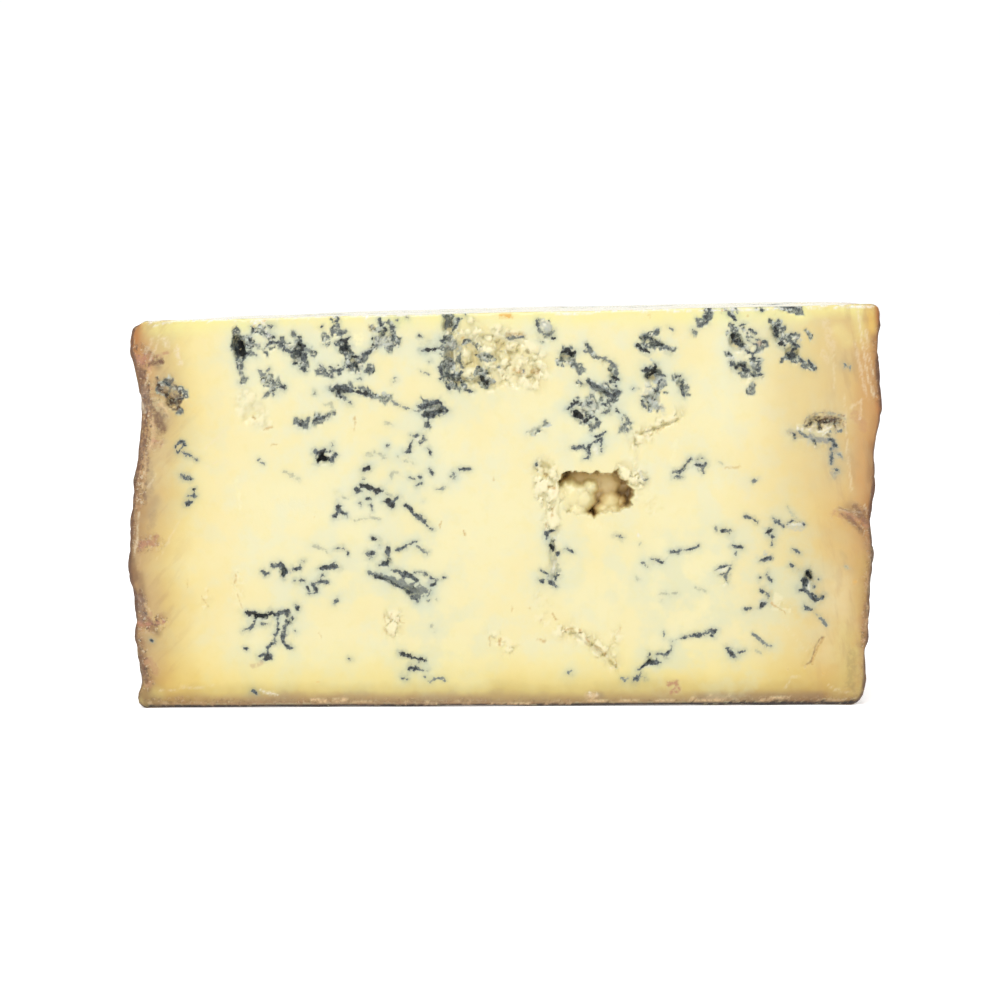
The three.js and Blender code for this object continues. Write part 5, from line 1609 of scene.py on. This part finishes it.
# ---------------------------------------------------------------- node helpers
class Shade:
    """A material's node tree, with short calls for the nodes that it needs."""

    def __init__(self, name):
        self.material = bpy.data.materials.new(name)
        self.material.use_nodes = True
        self.tree = self.material.node_tree
        self.tree.nodes.clear()

    def node(self, kind, settings=(), inputs=()):
        """A new node with its settings, and its sockets set or linked."""
        made = self.tree.nodes.new(kind)
        for name, value in dict(settings).items():
            setattr(made, name, value)
        for name, value in dict(inputs).items():
            self.feed(made.inputs[name], value)
        return made

    def feed(self, socket, value):
        """Sets a socket, or links what feeds it."""
        if isinstance(value, bpy.types.NodeSocket):
            self.tree.links.new(value, socket)
        else:
            socket.default_value = value

    def number(self, name):
        """A field that the mesh carries, as a number."""
        return self.node("ShaderNodeAttribute", {"attribute_name": name}).outputs["Fac"]

    def noise(self, size, detail=3, roughness=0.55):
        """Noise with bumps of the given size in millimetres, 0 to 1."""
        return self.noise_at(self.node("ShaderNodeTexCoord").outputs["Object"], size, detail, roughness)

    def streaks(self, size, length, lean):
        """Noise drawn out along the cut face, leaning by an angle in degrees."""
        place = self.node("ShaderNodeMapping", {"vector_type": "TEXTURE"}, {
            "Vector": self.node("ShaderNodeTexCoord").outputs["Object"],
            "Rotation": (0, math.radians(-lean), 0), "Scale": (length, 1, 1),
        }).outputs[0]
        return self.noise_at(place, size, 3, 0.55)

    def noise_at(self, place, size, detail, roughness):
        """Noise at the given place, 0 to 1."""
        inputs = {"Vector": place, "Scale": 1 / (size * MM), "Detail": detail, "Roughness": roughness}
        return self.node("ShaderNodeTexNoise", {}, inputs).outputs["Fac"]

    def math(self, operation, first, second=0.0):
        """The result of one operation on two numbers or sockets."""
        made = self.node("ShaderNodeMath", {"operation": operation})
        self.feed(made.inputs[0], first)
        self.feed(made.inputs[1], second)
        return made.outputs[0]

    def sum_of(self, *terms):
        """The sum of (socket, weight) pairs, each counted from its middle of 0.5."""
        total = 0.0
        for socket, weight in terms:
            centred = self.math("MULTIPLY", self.math("SUBTRACT", socket, 0.5), weight)
            total = self.math("ADD", centred, total)
        return total

    def between(self, value, low, high, out_low=0.0, out_high=1.0):
        """A smooth change from out_low to out_high as the value goes from low to high."""
        settings = {"interpolation_type": "SMOOTHSTEP"}
        inputs = {"Value": value, "From Min": low, "From Max": high, "To Min": out_low, "To Max": out_high}
        return self.node("ShaderNodeMapRange", settings, inputs).outputs["Result"]

    def mix(self, share, first, second, blend="MIX"):
        """Two colours mixed: the share is how much of the second shows."""
        made = self.node("ShaderNodeMix", {"data_type": "RGBA", "blend_type": blend})
        self.feed(made.inputs["Factor"], share)
        self.feed(made.inputs[6], first)
        self.feed(made.inputs[7], second)
        return made.outputs[2]

    def stepped(self, value, stops):
        """Colours along a value, from (place, linear colour) pairs."""
        made = self.node("ShaderNodeValToRGB", {}, {"Fac": value})
        elements = made.color_ramp.elements
        while len(elements) < len(stops):
            elements.new(0.5)
        for element, (place, colour) in zip(elements, stops):
            element.position = place
            element.color = colour
        return made.outputs["Color"]

    def ramp(self, value, stops):
        """Colours along a value, from (place, colour as it looks) pairs."""
        return self.stepped(value, [(place, own(colour)) for place, colour in stops])

    def band(self, distance, stops, reach):
        """The tint that a list of (millimetres, colour) gives, as a share of the plain cream."""
        plain = np.array(linear(CREAM))
        shares = [np.minimum(np.array(linear(colour)) / plain, 1) for _, colour in stops]
        places = [place / reach for place, _ in stops]
        return self.stepped(self.math("DIVIDE", distance, reach), list(zip(places, shares)))

    def painted(self, colour, name, strength):
        """Lays a stored colour over another by its own cover."""
        stored = self.node("ShaderNodeAttribute", {"attribute_name": name})
        cover = self.math("MULTIPLY", stored.outputs["Alpha"], strength)
        return self.mix(cover, colour, stored.outputs["Color"])

    def finish(self, shader):
        """Links the shader to the output and gives the material."""
        output = self.node("ShaderNodeOutputMaterial")
        self.tree.links.new(shader.outputs[0], output.inputs["Surface"])
        return self.material


# ---------------------------------------------------------------- materials
def paste_material():
    """The cut paste: cream that darkens to the rind, with its tints, crumbs, stains and veins, and painted
    light and shade among them: highlights, sheen and shadow in its marks and tints, shade in its crumbs,
    hollow and pockets.
    """
    shade = Shade("blue_veined_paste")
    colour = shade.mix(shade.between(shade.noise(22), 0.35, 0.7), own(CREAM), own(BUTTER))
    colour = shade.mix(shade.between(shade.noise(7, 4), 0.44, 0.66, 0, 0.6), colour, own(PALE_PASTE))
    colour = shade.mix(shade.between(shade.noise(3.6, 5), 0.48, 0.7, 0, 0.35), colour, own(GOLD_PASTE))
    drift = shade.math("MULTIPLY", shade.math("SUBTRACT", shade.noise(9), 0.5), 5.0)
    for name, stops in (("from_left", LEFT_BAND), ("from_right", RIGHT_BAND), ("from_foot", FOOT_BAND)):
        reach = stops[-1][0] + 2
        away = shade.math("MULTIPLY", shade.between(shade.number(name), 0.3, 6), drift)
        distance = shade.math("ADD", shade.number(name), away)
        colour = shade.mix(1.0, colour, shade.band(distance, stops, reach), "MULTIPLY")
    # Broad tints laid over, among them painted light along the top edge and painted shadow under the foot
    colour = shade.painted(colour, "shade", shade.between(shade.noise(5), 0.3, 0.6, 0.6, 1.0))
    colour = dirty(shade, colour)

    cloud = shade.math("MULTIPLY", shade.number("cloud"), shade.between(shade.noise(7, 4), 0.4, 0.62))
    colour = shade.mix(cloud, colour, own(CLOUD))
    pale = shade.math("MULTIPLY", shade.number("pale"), shade.between(shade.noise(4), 0.3, 0.6, 0.75, 1.0))
    colour = shade.mix(pale, colour, PALE_TINT, "MULTIPLY")
    halo = shade.math("MULTIPLY", shade.number("halo"), shade.between(shade.noise(2.6), 0.25, 0.65, 0.7, 1.1))
    colour = shade.mix(halo, colour, HALO_TINT, "MULTIPLY")

    crumb = shade.number("crumb")
    lump = shade.math("ADD", shade.number("lump"), shade.sum_of((shade.noise(0.5, 2), 0.3)))
    rank = shade.number("rank")
    # Crumb crowns lighter, the pale torn paste with painted light on their tops; their gaps and their lower
    # right sides darker, as painted shade
    crest = shade.math("MULTIPLY", crumb, shade.between(lump, -0.1, 0.4))
    colour = shade.mix(crest, colour, own(CRUMB_LIGHT))
    hollow = shade.between(lump, -0.25, BARE_GROUND, 0, 0.35)
    colour = shade.mix(shade.math("MULTIPLY", crumb, hollow), colour, own(CRUMB_PAINTED_SHADE))
    side = shade.number("side")
    shaded = shade.math("MULTIPLY", crumb, shade.between(side, -0.25, -0.7, 0, 0.4))
    colour = shade.mix(shaded, colour, own(CRUMB_PAINTED_SHADE))
    # The paste darker the deeper it lies behind the face, as painted shade
    sunk = shade.number("sunk")
    tints = [(depth / DEEPEST, tint) for depth, tint in SUNK_PAINTED_SHADE]
    inner = shade.ramp(shade.math("DIVIDE", sunk, DEEPEST), tints)
    colour = shade.mix(shade.between(sunk, 0.8, 2.0), colour, inner)

    colour = mouldy(shade, colour, lump, rank, side, sunk)
    # Marks laid over: stains, crumbs and rot, and the painted highlights, sheen, shadow and shade among them
    colour = shade.painted(colour, "stain_and_painted_light", shade.between(shade.noise(0.8, 4), 0.36, 0.56, 0.3, 1.0))
    colour, core = veined(shade, colour)

    height = shade.sum_of((shade.noise(0.5, 3), 0.5), (shade.noise(4, 2), 0.5))
    bump = shade.node("ShaderNodeBump", {}, {"Strength": 0.35, "Distance": 0.0002, "Height": height})
    shader = shade.node("ShaderNodeBsdfPrincipled", {}, {
        "Base Color": colour, "Roughness": shade.between(core, 0, 1, 0.42, 0.62),
        "Normal": bump.outputs["Normal"], "Specular IOR Level": 0.4,
        "Subsurface Weight": 0.15, "Subsurface Scale": 0.0015, "Coat Roughness": 0.12,
        "Coat Weight": shade.between(shade.number("lid"), 0, 1, 0.2, 0.8),
    })
    shader.inputs["Subsurface Radius"].default_value = (1.0, 0.6, 0.3)
    return shade.finish(shader)


def dirty(shade, colour):
    """The rind that shows at the face's edges: brown, rosy and dark patches with pale flecks."""
    dirt = shade.number("dirt")
    layers = (
        (2.4, 5, 0.42, 0.55, 0.7, DIRT_BROWN), (1.6, 4, 0.52, 0.62, 0.6, DIRT_ROSE),
        (1.0, 5, 0.54, 0.62, 0.85, DIRT_DARK), (0.7, 3, 0.56, 0.64, 0.8, DIRT_FLECK),
    )
    for size, detail, low, high, strength, tint in layers:
        share = shade.math("MULTIPLY", dirt, shade.between(shade.noise(size, detail), low, high, 0, strength))
        colour = shade.mix(share, colour, own(tint))
    for edge, lean in (("from_left", 50), ("from_right", 100)):
        near = shade.between(shade.number(edge), 20, 4)
        streak = shade.between(shade.streaks(2.2, 4, lean), 0.48, 0.7, 0, 0.36)
        colour = shade.mix(shade.math("MULTIPLY", near, streak), colour, own(STREAK))
        line = shade.between(shade.number(edge), 1.1, 0.2, 0, 0.85)
        line = shade.math("MULTIPLY", line, shade.between(shade.noise(2.2), 0.35, 0.55, 0.45, 1))
        colour = shade.mix(line, colour, own(EDGE_LINE))
    return colour


def mouldy(shade, colour, lump, rank, side, sunk):
    """Crumbs of paste with mould between them: dark in the gaps, grey and ash on the lumps. The gaps,
    the sunk places and the lumps' lower right sides are darker still as painted shade, and the ash and
    cream fall on the lumps' upper left sides as painted light.
    """
    mould = shade.number("mould")
    depth = shade.between(sunk, 0.6, 2.4, 0, 0.4)
    tone = shade.math("ADD", shade.math("MULTIPLY", shade.number("mould_tone"), 0.4), depth)
    mottle = shade.sum_of((shade.noise(1.6, 3), 1.3), (shade.noise(0.5, 3), 1.3))
    gap = shade.between(lump, 0.0, BARE_GROUND, -0.1, 0.25)
    shaded_side = shade.between(side, 0.5, -0.5, -0.25, 0.25)
    low = shade.math("ADD", gap, shaded_side)
    fringe = shade.between(mould, 0.25, 0.85, -0.35, 0.05)
    darkness = shade.math("ADD", shade.math("ADD", tone, mottle), shade.math("ADD", low, fringe))
    ink = shade.ramp(darkness, (
        (0.0, HALO), (0.22, VEIN_FAINT), (0.46, VEIN_GREY), (0.76, VEIN_SLATE), (1.05, VEIN_BLACK),
    ))
    colour = shade.mix(shade.between(mould, 0.15, 0.85, 0, 0.95), colour, ink)
    on_lump = shade.math("MULTIPLY", mould, shade.between(lump, -0.35, 0.05))
    lit = shade.between(side, -0.3, 0.3, 0.25, 0.95)
    on_lump = shade.math("MULTIPLY", on_lump, lit)
    ash = shade.math("MULTIPLY", on_lump, shade.between(rank, 0.85, 0.6, 0, 0.9))
    colour = shade.mix(ash, colour, own(ASH))
    cream = shade.math("MULTIPLY", on_lump, shade.between(rank, 0.3, 0.15, 0, 0.75))
    return shade.mix(cream, colour, own(CRUMB_LIGHT))


def veined(shade, colour):
    """The veins: slate, darker along their middles, with a soft blue-grey edge."""
    vein = shade.number("vein")
    tone = shade.number("tone")
    fray = shade.sum_of((shade.noise(1.1, 4, 0.65), 1.7), (shade.noise(0.35, 2), 0.5))
    inside = shade.math("ADD", vein, fray)
    haze = shade.math("MULTIPLY", shade.between(inside, -1.2, 0.0, 0.0, 0.36), tone)
    colour = shade.mix(haze, colour, own(HAZE))
    mottle = shade.sum_of((shade.noise(1.1, 3), 0.8), (shade.noise(0.4, 2), 0.5))
    deeper = shade.between(inside, -0.35, 0.55, -0.3, 0.1)
    ink = shade.ramp(
        shade.math("ADD", shade.math("ADD", tone, mottle), deeper),
        ((0.1, VEIN_FAINT), (0.46, VEIN_GREY), (0.84, VEIN_SLATE), (1.15, VEIN_BLACK)),
    )
    core = shade.between(inside, -0.22, 0.18)
    cover = shade.math("MULTIPLY", core, shade.between(tone, 0.1, 0.6, 0.4, 1.0))
    return shade.mix(cover, colour, ink), core


def rind_material():
    """The natural rind: tan crust, dark in its creases, with pale bloom, rose and grey patches."""
    shade = Shade("natural_rind")
    crust = shade.number("crust")
    colour = shade.mix(shade.between(shade.noise(16, 5, 0.7), 0.36, 0.66), own(RIND_TAN), own(RIND_GREY))
    colour = shade.mix(shade.between(shade.noise(11, 5, 0.7), 0.54, 0.72, 0, 0.6), colour, own(RIND_ROSE))
    low = shade.math("SUBTRACT", shade.sum_of((shade.noise(1.4, 5, 0.7), 2.4)), crust)
    colour = shade.mix(shade.between(low, 0.2, 1.5, 0, 0.85), colour, own(RIND_DARK))
    bloom = shade.math("ADD", shade.sum_of((shade.noise(1.6, 5, 0.75), 3.0)), crust)
    colour = shade.mix(shade.between(bloom, 0.0, 1.0, 0, 0.7), colour, own(RIND_PALE))
    specks = shade.between(shade.noise(0.7, 2), 0.66, 0.74, 0, 0.5)
    colour = shade.mix(specks, colour, own(RIND_DARK))
    height = shade.sum_of((shade.noise(0.8, 4, 0.65), 1.0), (shade.noise(3, 3), 1.4))
    bump = shade.node("ShaderNodeBump", {}, {"Strength": 0.9, "Distance": 0.0009, "Height": height})
    shader = shade.node("ShaderNodeBsdfPrincipled", {}, {
        "Base Color": colour, "Roughness": shade.between(bloom, 0.1, 0.9, 0.5, 0.8),
        "Normal": bump.outputs["Normal"], "Coat Weight": 0.1, "Coat Roughness": 0.3,
    })
    return shade.finish(shader)


def dress(made):
    """Gives the cut faces the paste and the rest the rind."""
    made.data.materials.append(paste_material())
    made.data.materials.append(rind_material())
    surface = np.zeros(len(made.data.polygons), np.int32)
    made.data.attributes["surface"].data.foreach_get("value", surface)
    made.data.polygons.foreach_set("material_index", np.isin(surface, (RIND, FOOT)).astype(np.int32))


# ---------------------------------------------------------------- floor and light
def make_floor():
    """A white floor that reaches past the view."""
    data = bpy.data.meshes.new("floor")
    corners = [(FLOOR_REACH * x, FLOOR_REACH * y, 0) for x, y in ((-1, -1), (1, -1), (1, 1), (-1, 1))]
    data.from_pydata(corners, [], [(0, 1, 2, 3)])
    floor = bpy.data.objects.new("floor", data)
    bpy.context.scene.collection.objects.link(floor)
    shade = Shade("floor_white")
    shader = shade.node("ShaderNodeBsdfPrincipled", {}, {
        "Base Color": FLOOR_WHITE, "Roughness": 0.9, "Specular IOR Level": 0.1,
        "Emission Color": (1, 1, 1, 1), "Emission Strength": FLOOR_GLOW,
    })
    data.materials.append(shade.finish(shader))


def make_light():
    """A white room, with a soft lamp above and in front."""
    world = bpy.data.worlds.new("white_room")
    world.use_nodes = True
    background = world.node_tree.nodes["Background"]
    background.inputs["Color"].default_value = (1, 1, 1, 1)
    background.inputs["Strength"].default_value = LIGHT_WORLD
    bpy.context.scene.world = world
    data = bpy.data.lights.new("key", "AREA")
    data.size = LAMP_SIZE
    data.energy = LAMP_POWER
    lamp = bpy.data.objects.new("key", data)
    bpy.context.scene.collection.objects.link(lamp)
    lamp.location = LAMP_PLACE
    lamp.rotation_euler = (Vector(LAMP_TARGET) - Vector(LAMP_PLACE)).to_track_quat("-Z", "Y").to_euler()


camera = make_camera()
cheese = make_skin(Solid(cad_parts["cheese"]), camera)
add_bake_map(cheese)
dress(cheese)
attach(cheese, "root")
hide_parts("cheese")
make_floor()
make_light()
bpy.context.scene.view_settings.view_transform = "Standard"
